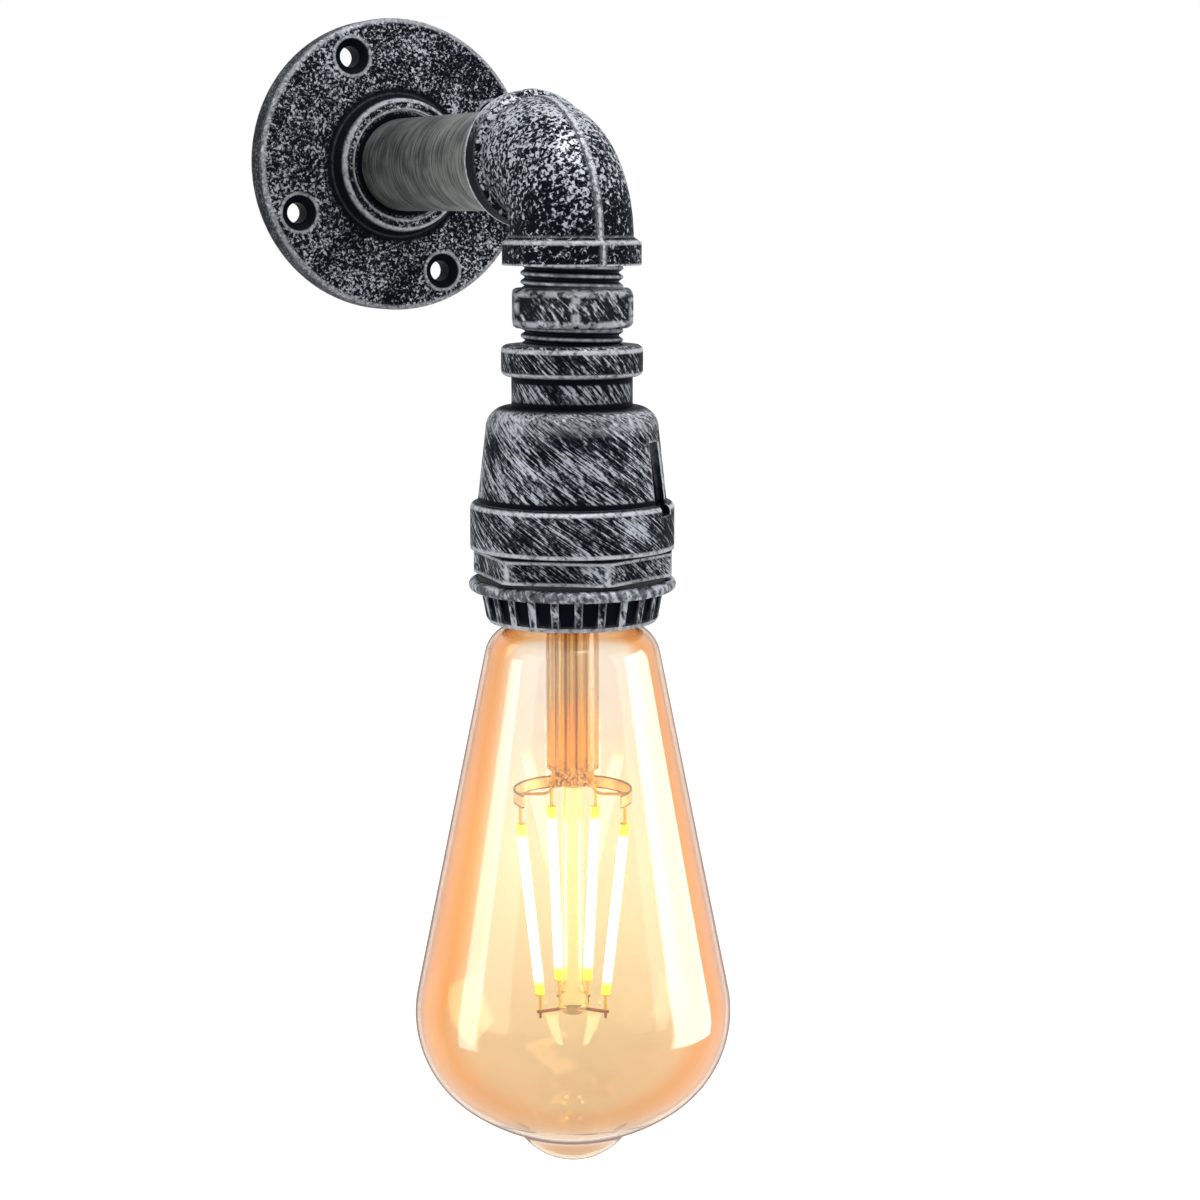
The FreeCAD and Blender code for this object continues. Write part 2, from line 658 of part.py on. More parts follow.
def holder_cap():
    """Cast cap of the holder: collar, neck, dome and band round one cavity, with a slot down the dome."""
    made = body("holder_cap")
    passage = "nipple_bore / 2"
    seat = "base_flange / 2 + seat_fit"
    revolved(made, [
        (TAPPED, HOLDER_TOP),
        ("collar_diameter / 2 - collar_edge", HOLDER_TOP, "-collar_edge"),
        ("collar_diameter / 2", f"{HOLDER_TOP} - collar_edge"),
        ("collar_diameter / 2", f"{HOLDER_TOP} - collar_height + collar_edge", "-collar_edge"),
        ("collar_diameter / 2 - collar_edge", f"{HOLDER_TOP} - collar_height"),
        ("neck_diameter / 2", f"{HOLDER_TOP} - collar_height"),
        ("neck_diameter / 2", DOME_TOP),
        ("dome_top / 2 - shoulder_radius", DOME_TOP, "-shoulder_radius"),
        ("dome_top / 2", f"{DOME_TOP} - shoulder_radius"),
        ("dome_base / 2", BAND_TOP),
        ("holder_band / 2 - holder_band_edge", BAND_TOP, "-holder_band_edge"),
        ("holder_band / 2", f"{BAND_TOP} - holder_band_edge"),
        ("holder_band / 2", CAP_FOOT),
        ("spigot_diameter / 2 + thread_fit", CAP_FOOT),
        ("spigot_diameter / 2 + thread_fit", SPIGOT_TOP),
        (seat, SPIGOT_TOP),
        (seat, CORE_TOP),
        ("base_diameter / 2 + core_gap", CORE_TOP),
        ("dome_top / 2 - cap_wall", f"{CEILING} - shoulder_radius + cap_wall"),
        ("dome_top / 2 - shoulder_radius", CEILING),
        (f"{passage} + mouth_flare", CEILING),
        (passage, f"{CEILING} + mouth_flare"),
        (passage, f"{HOLDER_TOP} - thread_grip"),
        (TAPPED, f"{HOLDER_TOP} - thread_grip"),
    ])
    slot = sketch(made, "XZ_Plane")
    slot_foot = f"{BAND_TOP} - slot_drop"
    slot_head = f"{slot_foot} + slot_height"
    low_floor = "dome_base / 2 - slot_depth / 2"
    high_floor = "dome_top / 2 - slot_depth"
    outline(slot, [
        (low_floor, slot_foot),
        ("holder_band", slot_foot),
        ("holder_band", slot_head),
        (high_floor, slot_head),
    ])
    extruded(made, slot, "slot_width", "PartDesign::Pocket", midplane=True)
    rib = sketch(made, "XZ_Plane", "-(slot_width / 2 + rib_width)")
    outline(rib, [
        (low_floor, BAND_TOP),
        ("dome_base / 2 + rib_height", BAND_TOP),
        ("dome_top / 2 + rib_height", slot_head),
        (high_floor, slot_head),
    ])
    extruded(made, rib, "rib_width")
    tapped = sketch(made, "XY_Plane", CEILING)
    circle(tapped, "earth_place * cos(slot_angle)", "-earth_place * sin(slot_angle)",
           "fixing_shank / 2 + thread_fit")
    extruded(made, tapped, "earth_length", "PartDesign::Pocket", reverse=True)
    place(made, y=LAMP_Y, turn=(Z_AXIS, "slot_angle - 90"))
    return made


def holder_skirt():
    """Lower half of the holder: thread into the cap, hexagon with turned corners, tail for the shade ring."""
    made = body("holder_skirt")
    hex_foot = f"{CAP_FOOT} - skirt_hex_height"
    tail_foot = f"{hex_foot} - skirt_tail"
    revolved(made, [
        ("skirt_bore / 2", SPIGOT_TOP),
        ("spigot_diameter / 2", SPIGOT_TOP),
        ("spigot_diameter / 2", CAP_FOOT),
        ("skirt_corner / 2", CAP_FOOT),
        ("skirt_corner / 2", hex_foot),
        ("skirt_thread / 2", hex_foot),
        ("skirt_thread / 2", tail_foot),
        ("skirt_bore / 2", tail_foot),
    ])
    flats = sketch(made, "XY_Plane", CAP_FOOT)
    circle(flats, "0", "0", "skirt_corner")
    hexagon(flats, "skirt_flats")
    extruded(made, flats, "skirt_hex_height", "PartDesign::Pocket")
    place(made, y=LAMP_Y, turn=(Z_AXIS, "skirt_hex_angle"))
    return made


RING_TOP = f"{CAP_FOOT} - skirt_hex_height - washer_thickness"


def shade_washer():
    """Black rubber washer between the hexagon and the shade ring."""
    made = body("shade_washer")
    revolved(made, [
        ("washer_bore / 2", RING_TOP),
        ("washer_diameter / 2", RING_TOP),
        ("washer_diameter / 2", f"{RING_TOP} + washer_thickness"),
        ("washer_bore / 2", f"{RING_TOP} + washer_thickness"),
    ])
    place(made, y=LAMP_Y)
    return made


def shade_ring():
    """Shade ring: thin flange over a tapered grip with blind recesses all round."""
    made = body("shade_ring")
    grip_top = f"{RING_TOP} - ring_flange_height"
    foot = f"{grip_top} - ring_grip_height"
    edge = "ring_flange_height / 2"
    revolved(made, [
        ("ring_bore / 2", RING_TOP),
        (f"ring_flange / 2 - {edge}", RING_TOP, f"-{edge}"),
        ("ring_flange / 2", f"{RING_TOP} - {edge}", f"-{edge}"),
        (f"ring_flange / 2 - {edge}", grip_top),
        ("ring_top / 2", grip_top),
        ("ring_low / 2 + ring_low_round", f"{foot} + ring_lip"),
        ("ring_low / 2", foot),
        ("ring_mouth / 2", foot),
        ("ring_mouth / 2", f"{foot} + ring_lip"),
        ("ring_bore / 2", f"{foot} + ring_lip + ring_mouth_lip"),
    ])
    recess = sketch(made, "XZ_Plane")
    outline(recess, [
        ("ring_low / 2 + ring_low_round - knurl_depth * 0.7", f"{foot} + ring_lip"),
        ("ring_flange", f"{foot} + ring_lip"),
        ("ring_flange", grip_top),
        ("ring_top / 2 - knurl_depth", grip_top),
    ])
    one = extruded(made, recess, "knurl_width", "PartDesign::Pocket", midplane=True)
    patterned(made, one, "knurl_count")
    place(made, y=LAMP_Y)
    return made


# ---------------------------------------------------------------- socket

SHELL_TOP = "-cap_tip_level - shell_clear"
BASE_TOP = f"{SPIGOT_TOP} + base_height"
SHELL_OUTSIDE = "shell_bore / 2 + sheet"
BLOCK_FOOT = f"{BASE_TOP} - block_height"


def block_pocket(owner, side):
    """Outline of one terminal's pocket in the ceramic, open to the side."""
    drawing = sketch(owner, "XY_Plane", BASE_TOP)
    oblong(drawing, f"{side}(block_inset - seat_fit)", f"{side}base_diameter", "block_width / 2 + seat_fit")
    return drawing


def socket_base():
    """Ceramic base: flange held between cap and skirt, pockets for the terminals, well for the contact."""
    made = body("socket_base")
    seat = f"{SHELL_OUTSIDE} + thread_fit"
    revolved(made, [
        ("0", BASE_TOP),
        ("base_diameter / 2", BASE_TOP),
        ("base_diameter / 2", CORE_TOP),
        ("base_flange / 2", CORE_TOP),
        ("base_flange / 2", SPIGOT_TOP),
        (seat, SPIGOT_TOP),
        (seat, SHELL_TOP),
        ("shell_eye / 2", SHELL_TOP),
        ("shell_eye / 2", f"{SHELL_TOP} + well_depth"),
        ("0", f"{SHELL_TOP} + well_depth"),
    ])
    for side in ("", "-"):
        pocket = block_pocket(made, side)
        extruded(made, pocket, "block_height", "PartDesign::Pocket")
        doc.recompute()
    slots = (
        ("block_inset + lug_root + seat_fit", "tongue_root - seat_fit * 2", "block_foot + contact_gap"),
        ("-block_inset - foot_length - seat_fit", "-block_inset + seat_fit", f"{BLOCK_FOOT} - ({SHELL_TOP})"),
    )
    for near, far, depth in slots:
        drawing = sketch(made, "XY_Plane", BLOCK_FOOT)
        oblong(drawing, near, far, "tongue_width / 2 + seat_fit")
        extruded(made, drawing, depth, "PartDesign::Pocket")
        doc.recompute()
    for side in ("", "-"):
        drawing = sketch(made, "XY_Plane", SHELL_TOP)
        circle(drawing, "0", f"{side}screw_circle / 2", "fixing_shank / 2 + thread_fit")
        extruded(made, drawing, "fixing_length + seat_fit * 2", "PartDesign::Pocket", reverse=True)
        doc.recompute()
    place(made, y=LAMP_Y)
    return made


def screw_shell():
    """Female screw shell, its top turned in to a flange that the fixing screws hold."""
    made = body("screw_shell")
    foot = f"{SHELL_TOP} - shell_height"
    revolved(made, [
        ("shell_eye / 2", SHELL_TOP),
        (SHELL_OUTSIDE, SHELL_TOP),
        (SHELL_OUTSIDE, foot),
        ("shell_bore / 2", foot),
        ("shell_bore / 2", f"{SHELL_TOP} - sheet"),
        ("shell_eye / 2", f"{SHELL_TOP} - sheet"),
    ])
    for side in ("", "-"):
        drawing = sketch(made, "XY_Plane", SHELL_TOP)
        circle(drawing, "0", f"{side}screw_circle / 2", "fixing_shank / 2 + thread_fit")
        extruded(made, drawing, "sheet", "PartDesign::Pocket")
        doc.recompute()
    place(made, y=LAMP_Y)
    return made


def terminal(label, side, foot):
    """Brass terminal: block with an upright hole for the wire, and a foot to its contact."""
    made = body(label)
    plan = sketch(made, "XY_Plane", BLOCK_FOOT)
    oblong(plan, f"{side}block_inset", f"{side}block_reach", "block_width / 2")
    circle(plan, f"{side}wire_hole_place", "0", "wire_diameter / 2 + thread_fit")
    extruded(made, plan, "block_height")
    lug = sketch(made, "XY_Plane", BLOCK_FOOT)
    near, far, depth = foot
    oblong(lug, near, far, "tongue_width / 2")
    extruded(made, lug, depth, reverse=True)
    bore = sketch(made, "YZ_Plane")
    circle(bore, "0", SCREW_LEVEL, "clamp_shank / 2 + thread_fit")
    extruded(made, bore, "base_diameter / 2", "PartDesign::Pocket", reverse=(side == ""))
    place(made, y=LAMP_Y)
    return made


SCREW_LEVEL = f"{BASE_TOP} - clamp_drop"


def live_terminal():
    return terminal("live_terminal", "", ("tongue_root", "block_inset + lug_root", "block_foot"))


def neutral_terminal():
    depth = f"{BLOCK_FOOT} - ({SHELL_TOP})"
    return terminal("neutral_terminal", "-", ("-block_inset - foot_length", "-block_inset", depth))


def screw(label, shank, length, head, head_height, x, y, z, axis, degrees):
    """Slotted cheese-head screw. Its own Z runs from under the head along the shank."""
    rod = cylinder(label + "_shank", f"{shank} / 2", length)
    cap = cylinder(label + "_head", f"{head} / 2", head_height, z=f"-({head_height})")
    whole = joined(label + "_blank", [rod, cap])
    slot = box(label + "_slot", head, "screw_slot", f"({head_height}) / 2",
               f"-({head}) / 2", "-screw_slot / 2", f"-({head_height})")
    made = cut(label, whole, slot)
    place(made, x, y, z, (axis, degrees))
    return made


def group(label, items):
    made = doc.addObject("Part::Compound", label)
    made.Links = items
    made.Label = label
    return made


def clamp_screws():
    """Side screws that grip the wires in their terminals, points against the wires."""
    length = "block_reach - wire_hole_place - wire_diameter / 2"
    pair = []
    for side, degrees in (("", "-90"), ("-", "90")):
        name = f"clamp_screw_{len(pair) + 1}"
        pair.append(screw(name, "clamp_shank", length, "clamp_head", "clamp_head_height",
                          f"{side}block_reach", LAMP_Y, SCREW_LEVEL, Y_AXIS, degrees))
    return group("clamp_screws", pair)


def fixing_screws():
    """Two screws up through the shell's flange into the ceramic."""
    pair = []
    for side in ("", "-"):
        name = f"fixing_screw_{len(pair) + 1}"
        pair.append(screw(name, "fixing_shank", "fixing_length", "fixing_head", "fixing_head_height",
                          "0", f"-reach + ({side}screw_circle / 2)", f"{SHELL_TOP} - sheet", Z_AXIS, "0"))
    return group("fixing_screws", pair)


def centre_contact():
    """Springy brass tongue: slopes down from its root to a flat that the lamp's tip presses."""
    made = body("centre_contact")
    side_view = sketch(made, "XZ_Plane")
    pad = "-cap_tip_level + contact_gap"
    root = f"{BLOCK_FOOT} - block_foot"
    outline(side_view, [
        ("-pad_length", pad),
        ("pad_length - tongue_sheet", pad),
        ("tongue_root - contact_gap", root),
        ("tongue_root - contact_gap", f"{root} + tongue_sheet"),
        ("pad_length - tongue_sheet * 1.4", f"{pad} + tongue_sheet"),
        ("-pad_length", f"{pad} + tongue_sheet"),
    ])
    extruded(made, side_view, "tongue_width - seat_fit * 4", midplane=True)
    place(made, y=LAMP_Y)
    return made


# ---------------------------------------------------------------- bulb

TIP = "-cap_tip_level"
TIP_FOOT = f"{TIP} - cap_tip_height"
CAP_TOP = f"{TIP_FOOT} - insulator_height"
CAP_RIM = f"{CAP_TOP} - cap_height"
PLUG_FOOT = f"{CAP_TOP} - cap_sheet - plug_height"
NECK_TOP = f"{CAP_RIM} + neck_grip"


def cap_tip():
    """Domed end contact."""
    made = body("cap_tip")
    revolved(made, [
        ("0", TIP_FOOT),
        ("cap_tip_diameter / 2", TIP_FOOT),
        ("cap_tip_diameter / 2 - tip_edge", f"{TIP} - cap_tip_height / 3"),
        ("cap_tip_diameter / 4", TIP),
        ("0", TIP),
    ])
    place(made, y=LAMP_Y)
    return made


def cap_insulator():
    """Black insulator: a cone between tip and shell, with a plug below the shell's edge."""
    made = body("cap_insulator")
    revolved(made, [
        ("0", TIP_FOOT),
        ("cap_tip_diameter / 2 + tip_edge", TIP_FOOT),
        ("insulator_diameter / 2", CAP_TOP),
        ("insulator_diameter / 2", f"{CAP_TOP} - cap_sheet"),
        ("cap_inside / 2 - seat_fit", f"{CAP_TOP} - cap_sheet"),
        ("cap_inside / 2 - seat_fit", PLUG_FOOT),
        ("0", PLUG_FOOT),
    ])
    place(made, y=LAMP_Y)
    return made


def cap_shell():
    """Shell of the E27 lamp cap, turned in over the insulator."""
    made = body("cap_shell")
    revolved(made, [
        ("insulator_diameter / 2", CAP_TOP),
        ("cap_inside / 2", CAP_TOP),
        ("cap_outside / 2", f"{CAP_TOP} - cap_sheet"),
        ("cap_outside / 2", CAP_RIM),
        ("cap_inside / 2", CAP_RIM),
        ("cap_inside / 2", f"{CAP_TOP} - cap_sheet"),
        ("insulator_diameter / 2", f"{CAP_TOP} - cap_sheet"),
    ])
    place(made, y=LAMP_Y)
    return made


def cap_cement():
    """Ring of cement between the glass neck and the cap."""
    made = body("cap_cement")
    revolved(made, [
        ("glass_neck / 2", NECK_TOP),
        ("cap_inside / 2", NECK_TOP),
        ("cap_inside / 2", f"{CAP_RIM} + cement_rim"),
        ("glass_neck / 2", f"{CAP_RIM} + cement_rim"),
    ])
    place(made, y=LAMP_Y)
    return made


def driver_board():
    """Upright circuit board that stands in the cap."""
    return box("driver_board", "board_width", "board_sheet", "board_height", "-board_width / 2",
               "-reach - board_sheet / 2", f"{PLUG_FOOT} - board_height")


def driver_capacitor():
    """Smoothing capacitor on the board."""
    radius = "capacitor_diameter / 2"
    return cylinder("driver_capacitor", radius, "capacitor_height",
                    f"{PLUG_FOOT} - board_height / 2 - capacitor_height / 2",
                    "-board_width / 5", f"-reach - board_sheet / 2 - {radius}")


def driver_chip():
    """Rectifier and current regulator on the other face of the board."""
    return box("driver_chip", "chip_width", "chip_depth", "chip_width", "-chip_width / 2",
               "-reach + board_sheet / 2", f"{PLUG_FOOT} - board_height / 2 - chip_width / 2")


def glass_outline(inset):
    """Half section of the bulb from the neck to the tip, drawn inside the outer face by inset.

    The heading is measured from straight down, outward positive. Every stretch is tangent to the last.
    """
    edges = []
    here = Vector(size("glass_neck / 2") - inset, 0, size(NECK_TOP))
    heading = 0.0

    def line(length):
        nonlocal here
        end = here + Vector(math.sin(heading), 0, -math.cos(heading)) * length
        edges.append(Part.LineSegment(here, end).toShape())
        here = end

    def bend(radius, new_heading):
        """An arc to a new heading; a round stretch turns inward and a hollow one outward."""
        nonlocal here, heading
        sense = 1 if new_heading < heading else -1
        spoke, middle_spoke, end_spoke = (
            Vector(math.cos(angle), 0, math.sin(angle)) * radius * sense
            for angle in (heading, (heading + new_heading) / 2, new_heading))
        centre = here - spoke
        edges.append(Part.Arc(here, centre + middle_spoke, centre + end_spoke).toShape())
        here, heading = centre + end_spoke, new_heading

    slope = {name: math.radians(size(name)) for name in
             ("shoulder_out", "cone_angle", "belly_turn", "bowl_turn", "ogee_turn")}
    line(size("neck_grip + neck_clear"))
    bend(size("shoulder_flare") + inset, slope["shoulder_out"])
    bend(size("shoulder_round") - inset, slope["cone_angle"])
    line(size("cone_length"))
    bend(size("belly_radius") - inset, -slope["belly_turn"])
    bend(size("bowl_radius") - inset, -slope["bowl_turn"])
    bend(size("ogee_radius") + inset, -slope["ogee_turn"])
    bend(here.x / math.cos(heading), -math.pi / 2)
    return edges


def glass_solid(inset):
    edges = glass_outline(inset)
    top = edges[0].Vertexes[0].Point
    foot = edges[-1].Vertexes[-1].Point
    axis_top = Vector(0, 0, top.z)
    axis_foot = Vector(0, 0, foot.z)
    closing = [Part.makeLine(axis_foot, axis_top), Part.makeLine(axis_top, top)]
    face = Part.Face(Part.Wire(edges + closing))
    return face.revolve(ORIGIN, Z_AXIS, 360)


def lamp_feature(label, shape):
    """A piece on the lamp axis whose form is worked out above."""
    made = doc.addObject("Part::Feature", label)
    made.Label = label
    made.Shape = shape
    place(made, y=LAMP_Y)
    return made


def glass_envelope():
    """Blown bulb: a chain of tangent arcs and one cone, of even wall."""
    return lamp_feature("glass_envelope", glass_solid(0).cut(glass_solid(size("glass_wall"))))


STEM_FOOT = "-stem_foot"
PINCH_FOOT = f"{STEM_FOOT} - pinch_height"


def route(points, radius):
    """A round wire along the points, its corners eased by arcs as large as half the shorter run allows."""
    edges = []
    start = points[0]
    for before, corner, after in zip(points, points[1:], points[2:]):
        back, ahead = before - corner, after - corner
        shorter = min(back.Length, ahead.Length) * 0.45
        turn = math.pi - back.getAngle(ahead)
        first = corner + back.normalize() * shorter
        last = corner + ahead.normalize() * shorter
        toward = (first + last) / 2 - corner
        bend_radius = shorter / math.tan(turn / 2)
        middle = corner + toward.normalize() * (bend_radius / math.cos(turn / 2) - bend_radius)
        edges.append(Part.makeLine(start, first))
        edges.append(Part.Arc(first, middle, last).toShape())
        start = last
    edges.append(Part.makeLine(start, points[-1]))
    path = Part.Wire(edges)
    direction = points[1] - points[0]
    section = Part.Wire([Part.makeCircle(radius, points[0], direction)])
    return path.makePipeShell([section], True, False)


def lamp_direction(turn):
    """Level direction at an angle measured from -Y towards +X."""
    angle = math.radians(size(turn))
    return Vector(math.sin(angle), -math.cos(angle), 0)


def bulb_lead(side):
    """Lead wire: down the stem, through the pinch and out to its strip."""
    radius = size("lead_diameter / 2")
    inside = size("(exhaust_diameter + stem_diameter) / 4 - stem_wall / 2") * side
    strip = size("strip_diameter / 2 - strip_sheet") * side
    top = size(f"{NECK_TOP} + root_depth * 2")
    strip_middle = size("-strip_level - strip_height / 2")
    out = lamp_direction("frame_angle + 90")
    points = [
        out * inside + Vector(0, 0, top),
        out * inside + Vector(0, 0, size(PINCH_FOOT) + radius * 3),
        out * (inside + side * radius * 4) + Vector(0, 0, strip_middle),
        out * (strip - side * size("thread_fit")) + Vector(0, 0, strip_middle),
    ]
    return route(points, radius)


def bulb_stem():
    """Glass stem: flare sealed to the neck, tube, and a flattened pinch round the lead wires."""
    outer = size("stem_diameter / 2")
    wall = size("stem_wall")
    seal = size("glass_neck / 2 - glass_wall")
    top = size(NECK_TOP)
    rim = top - wall
    foot = size(STEM_FOOT)
    flare = seal - outer
    throat = rim - flare
    slack = flare * (1 - math.sqrt(0.5))
    corners = [(seal, top), (seal, rim), (outer, throat), (outer, foot), (0, foot), (0, foot + wall),
               (outer - wall, foot + wall), (outer - wall, throat), (seal - wall * 2, top)]
    points = [Vector(radius, 0, height) for radius, height in corners]
    edges = [Part.makeLine(first, last) for first, last in zip(points, points[1:] + points[:1])]
    edges[1] = Part.Arc(points[1], Vector(outer + slack, 0, rim - slack), points[2]).toShape()
    tube = Part.Face(Part.Wire(edges)).revolve(ORIGIN, Z_AXIS, 360)
    exhaust = size("exhaust_diameter / 2")
    length = rim - foot
    inner_tube = Part.makeCylinder(exhaust, length, Vector(0, 0, foot))
    inner_bore = Part.makeCylinder(exhaust - size("exhaust_wall"), length - wall, Vector(0, 0, foot + wall))
    width = size("pinch_width")
    depth = size("pinch_depth")
    pinch = Part.makeBox(width, depth, size("pinch_height"), Vector(-width / 2, -depth / 2, size(PINCH_FOOT)))
    pinch.rotate(ORIGIN, Z_AXIS, size("frame_angle"))
    whole = tube.fuse([pinch, inner_tube]).cut(inner_bore)
    for side in (1, -1):
        whole = whole.cut(bulb_lead(side))
    return lamp_feature("bulb_stem", whole)


def stem_rod(spider):
    """Glass rod down the middle, with a button fused round the lower support wires."""
    made = body("rod_blank")
    foot = "-rod_foot"
    button_foot = f"{foot} - button_height"
    edge = "button_height / 3"
    revolved(made, [
        ("0", PINCH_FOOT),
        ("rod_diameter / 2", PINCH_FOOT),
        ("rod_diameter / 2", f"{foot} + button_diameter / 2"),
        ("button_diameter / 2", foot),
        ("button_diameter / 2", f"{button_foot} + {edge}"),
        (f"button_diameter / 2 - {edge}", button_foot),
        ("0", button_foot),
    ])
    place(made, y=LAMP_Y)
    return cut("stem_rod", made, spider)


def upper_strip(label, start, end):
    """Metal strip on edge, bent round the lamp axis between two angles, that feeds two filaments."""
    made = body(label)
    drawing = sketch(made, "XZ_Plane")
    outer = "strip_diameter / 2"
    outline(drawing, [
        (f"{outer} - strip_sheet", "-strip_level - strip_height"),
        (outer, "-strip_level - strip_height"),
        (outer, "-strip_level"),
        (f"{outer} - strip_sheet", "-strip_level"),
    ])
    bent = made.newObject("PartDesign::Revolution", label + "_bent")
    bent.Profile = drawing
    bent.ReferenceAxis = (drawing, ["V_Axis"])
    bent.Midplane = True
    bind(bent, Angle=f"{end} - ({start})")
    place(made, y=LAMP_Y, turn=(Z_AXIS, f"frame_angle + (({start}) + {end}) / 2 - 90"))
    return made


FILAMENTS = ("frame_angle - front_filament", "frame_angle + front_filament",
             "frame_angle + 180 - back_filament", "frame_angle - 180 + back_filament")


def filament(label, turn):
    """Filament: glowing rod with a metal pin at each end, leaning in towards its foot."""
    out = lamp_direction(turn)
    top = out * size("filament_top") + Vector(0, 0, -size("filament_start"))
    lean = math.asin(size("(filament_top - filament_foot) / filament_length"))
    along = out * -math.sin(lean) + Vector(0, 0, -math.cos(lean))
    foot = top + along * size("filament_length")
    pin = size("lead_diameter / 2")
    rod = Part.makeCylinder(size("filament_diameter / 2"), size("filament_length"), top, along)
    strip_inside = out * (size("strip_diameter / 2 - strip_sheet") - pin)
    upper_end = strip_inside + Vector(0, 0, size("-strip_level - strip_height / 2"))
    lower_end = Vector(foot.x, foot.y, size("-spider_level + lead_diameter / 2"))
    upper = Part.makeCylinder(pin, (upper_end - top).Length, top, upper_end - top)
    lower = Part.makeCylinder(pin, (lower_end - foot).Length, foot, lower_end - foot)
    return lamp_feature(label, rod.fuse([upper, lower]))


def lower_spider():
    """Support wires out of a bead in the button, one to each filament with a stub below."""
    radius = size("lead_diameter / 2")
    bead = size("weld_diameter / 2")
    reach = size("filament_foot + lead_diameter")
    stub = size("stub_diameter / 2")
    centre = Vector(0, 0, -size("spider_level"))
    arms = []
    root = bead - radius / 2
    for turn in FILAMENTS:
        out = lamp_direction(turn)
        stub_top = centre + out * (reach - radius * 2)
        arms.append(Part.makeCylinder(radius, reach - root, centre + out * root, out))
        arms.append(Part.makeCylinder(stub, size("stub_length"), stub_top, -Z_AXIS))
    middle = Part.makeCylinder(bead, radius * 3, centre - Z_AXIS * radius * 1.5)
    return lamp_feature("lower_spider", middle.fuse(arms))


# ---------------------------------------------------------------- wiring

def pipe_wire(label, across, above, end_points):
    """An insulated wire from the flange's mouth, along the pipe, round the elbow and down the nipple."""
    lamp = size(LAMP_Y)
    bend = size("elbow_bend")
    level_start = Vector(across, -size("pipe_setback + root_depth"), above)
    corner = Vector(across, lamp - above, above)
    level_end = Vector(across, lamp + bend, above)
    upright_start = Vector(across, lamp - above, -bend)
    centre = Vector(across, lamp + bend, -bend)
    middle = centre + (corner - centre).normalize() * (bend + above)
    radius = size("wire_diameter / 2")
    points = [upright_start - Z_AXIS * radius] + [Vector(x, lamp + y, z) for x, y, z in end_points]
    drop = route(points, radius)
    path = Part.Wire([
        Part.makeLine(level_start, level_end),
        Part.Arc(level_end, middle, upright_start).toShape(),
        Part.makeLine(upright_start, points[0]),
    ])
    section = Part.Wire([Part.makeCircle(radius, level_start, -Y_AXIS)])
    run = path.makePipeShell([section], True, False)
    made = doc.addObject("Part::Feature", label)
    made.Label = label
    made.Shape = run.fuse(drop).removeSplitter()
    return made


def live_wire():
    return terminal_wire("live_wire", 1)


def neutral_wire():
    return terminal_wire("neutral_wire", -1)


def terminal_wire(label, side):
    """Wire that fans out below the nipple and goes down into its terminal."""
    inside = size("wire_spread") * side
    outside = size("wire_hole_place") * side
    ends = [
        (inside, 0, size(f"{DOME_TOP} - root_depth")),
        (outside, 0, size(f"{BASE_TOP} + wire_diameter * 1.4")),
        (outside, 0, size(f"{SCREW_LEVEL} - clamp_shank * 0.6")),
    ]
    return pipe_wire(label, inside, 0, ends)


def earth_wire():
    """Wire to the earth tag under the cap's ceiling."""
    above = size("wire_spread")
    under = size(f"{TAG_FOOT} - wire_diameter / 2")
    ends = [
        (0, -above, size(f"{DOME_TOP} + wire_diameter")),
        (0, -above - size("wire_diameter / 2"), under),
        (0, -size("earth_place - clamp_head / 2 - seat_fit * 4"), under),
    ]
    return pipe_wire("earth_wire", 0, above, ends)


TAG_FOOT = f"{CEILING} - tag_sheet"


def earth_tag():
    """Ring tag on the cap's ceiling with a tail for the earth wire."""
    made = body("earth_tag")
    drawing = sketch(made, "XY_Plane", TAG_FOOT)
    tail = "-nipple_bore / 2 + seat_fit * 2"
    outline(drawing, [
        ("-tag_width / 2", "-earth_place - tag_width / 2"),
        ("tag_width / 2", "-earth_place - tag_width / 2"),
        ("tag_width / 2", tail),
        ("-tag_width / 2", tail),
    ])
    circle(drawing, "0", "-earth_place", "fixing_shank / 2 + thread_fit")
    extruded(made, drawing, "tag_sheet")
    place(made, y=LAMP_Y)
    return made


def earth_screw():
    return screw("earth_screw", "fixing_shank", "earth_length", "clamp_head", "clamp_head_height",
                 "0", "-reach - earth_place", TAG_FOOT, Z_AXIS, "0")


SPIDER = lower_spider()
NODES = [
    wall_flange(), wall_pipe(), pipe_elbow(), hex_nipple(), holder_cap(), holder_skirt(),
    shade_washer(), shade_ring(),
    socket_base(), screw_shell(), live_terminal(), neutral_terminal(), clamp_screws(), fixing_screws(),
    centre_contact(), earth_tag(), earth_screw(), live_wire(), neutral_wire(), earth_wire(),
    cap_tip(), cap_insulator(), cap_shell(), cap_cement(), driver_board(), driver_capacitor(), driver_chip(),
    glass_envelope(), bulb_stem(), stem_rod(SPIDER), SPIDER,
    upper_strip("upper_strip_live", "strip_start", "(180 - strip_gap_turn - strip_gap / 2)"),
    upper_strip("upper_strip_neutral", "strip_gap / 2 - strip_gap_turn - 180", "(-strip_start)"),
]
NODES += [filament(f"led_filament_{number + 1}", turn) for number, turn in enumerate(FILAMENTS)]
NODES += [lamp_feature(f"lead_wire_{number + 1}", bulb_lead(side)) for number, side in enumerate((1, -1))]


doc.recompute()


def check(item):
    """Stops on anything that failed to build, before any file is written."""
    shape = item.Shape
    if shape.isNull() or not shape.isValid():
        raise ValueError(f"{item.Label} has no sound shape")


for item in doc.Objects:
    if "Invalid" in item.State or "Error" in item.State:
        raise ValueError(f"{item.Label} failed: {item.State}")

os.makedirs("parts", exist_ok=True)
for item in NODES:
    check(item)
    item.Shape.exportStep(os.path.join("parts", item.Label + ".step"))
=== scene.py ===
import math

import bmesh
import bpy
from mathutils import Matrix, Vector


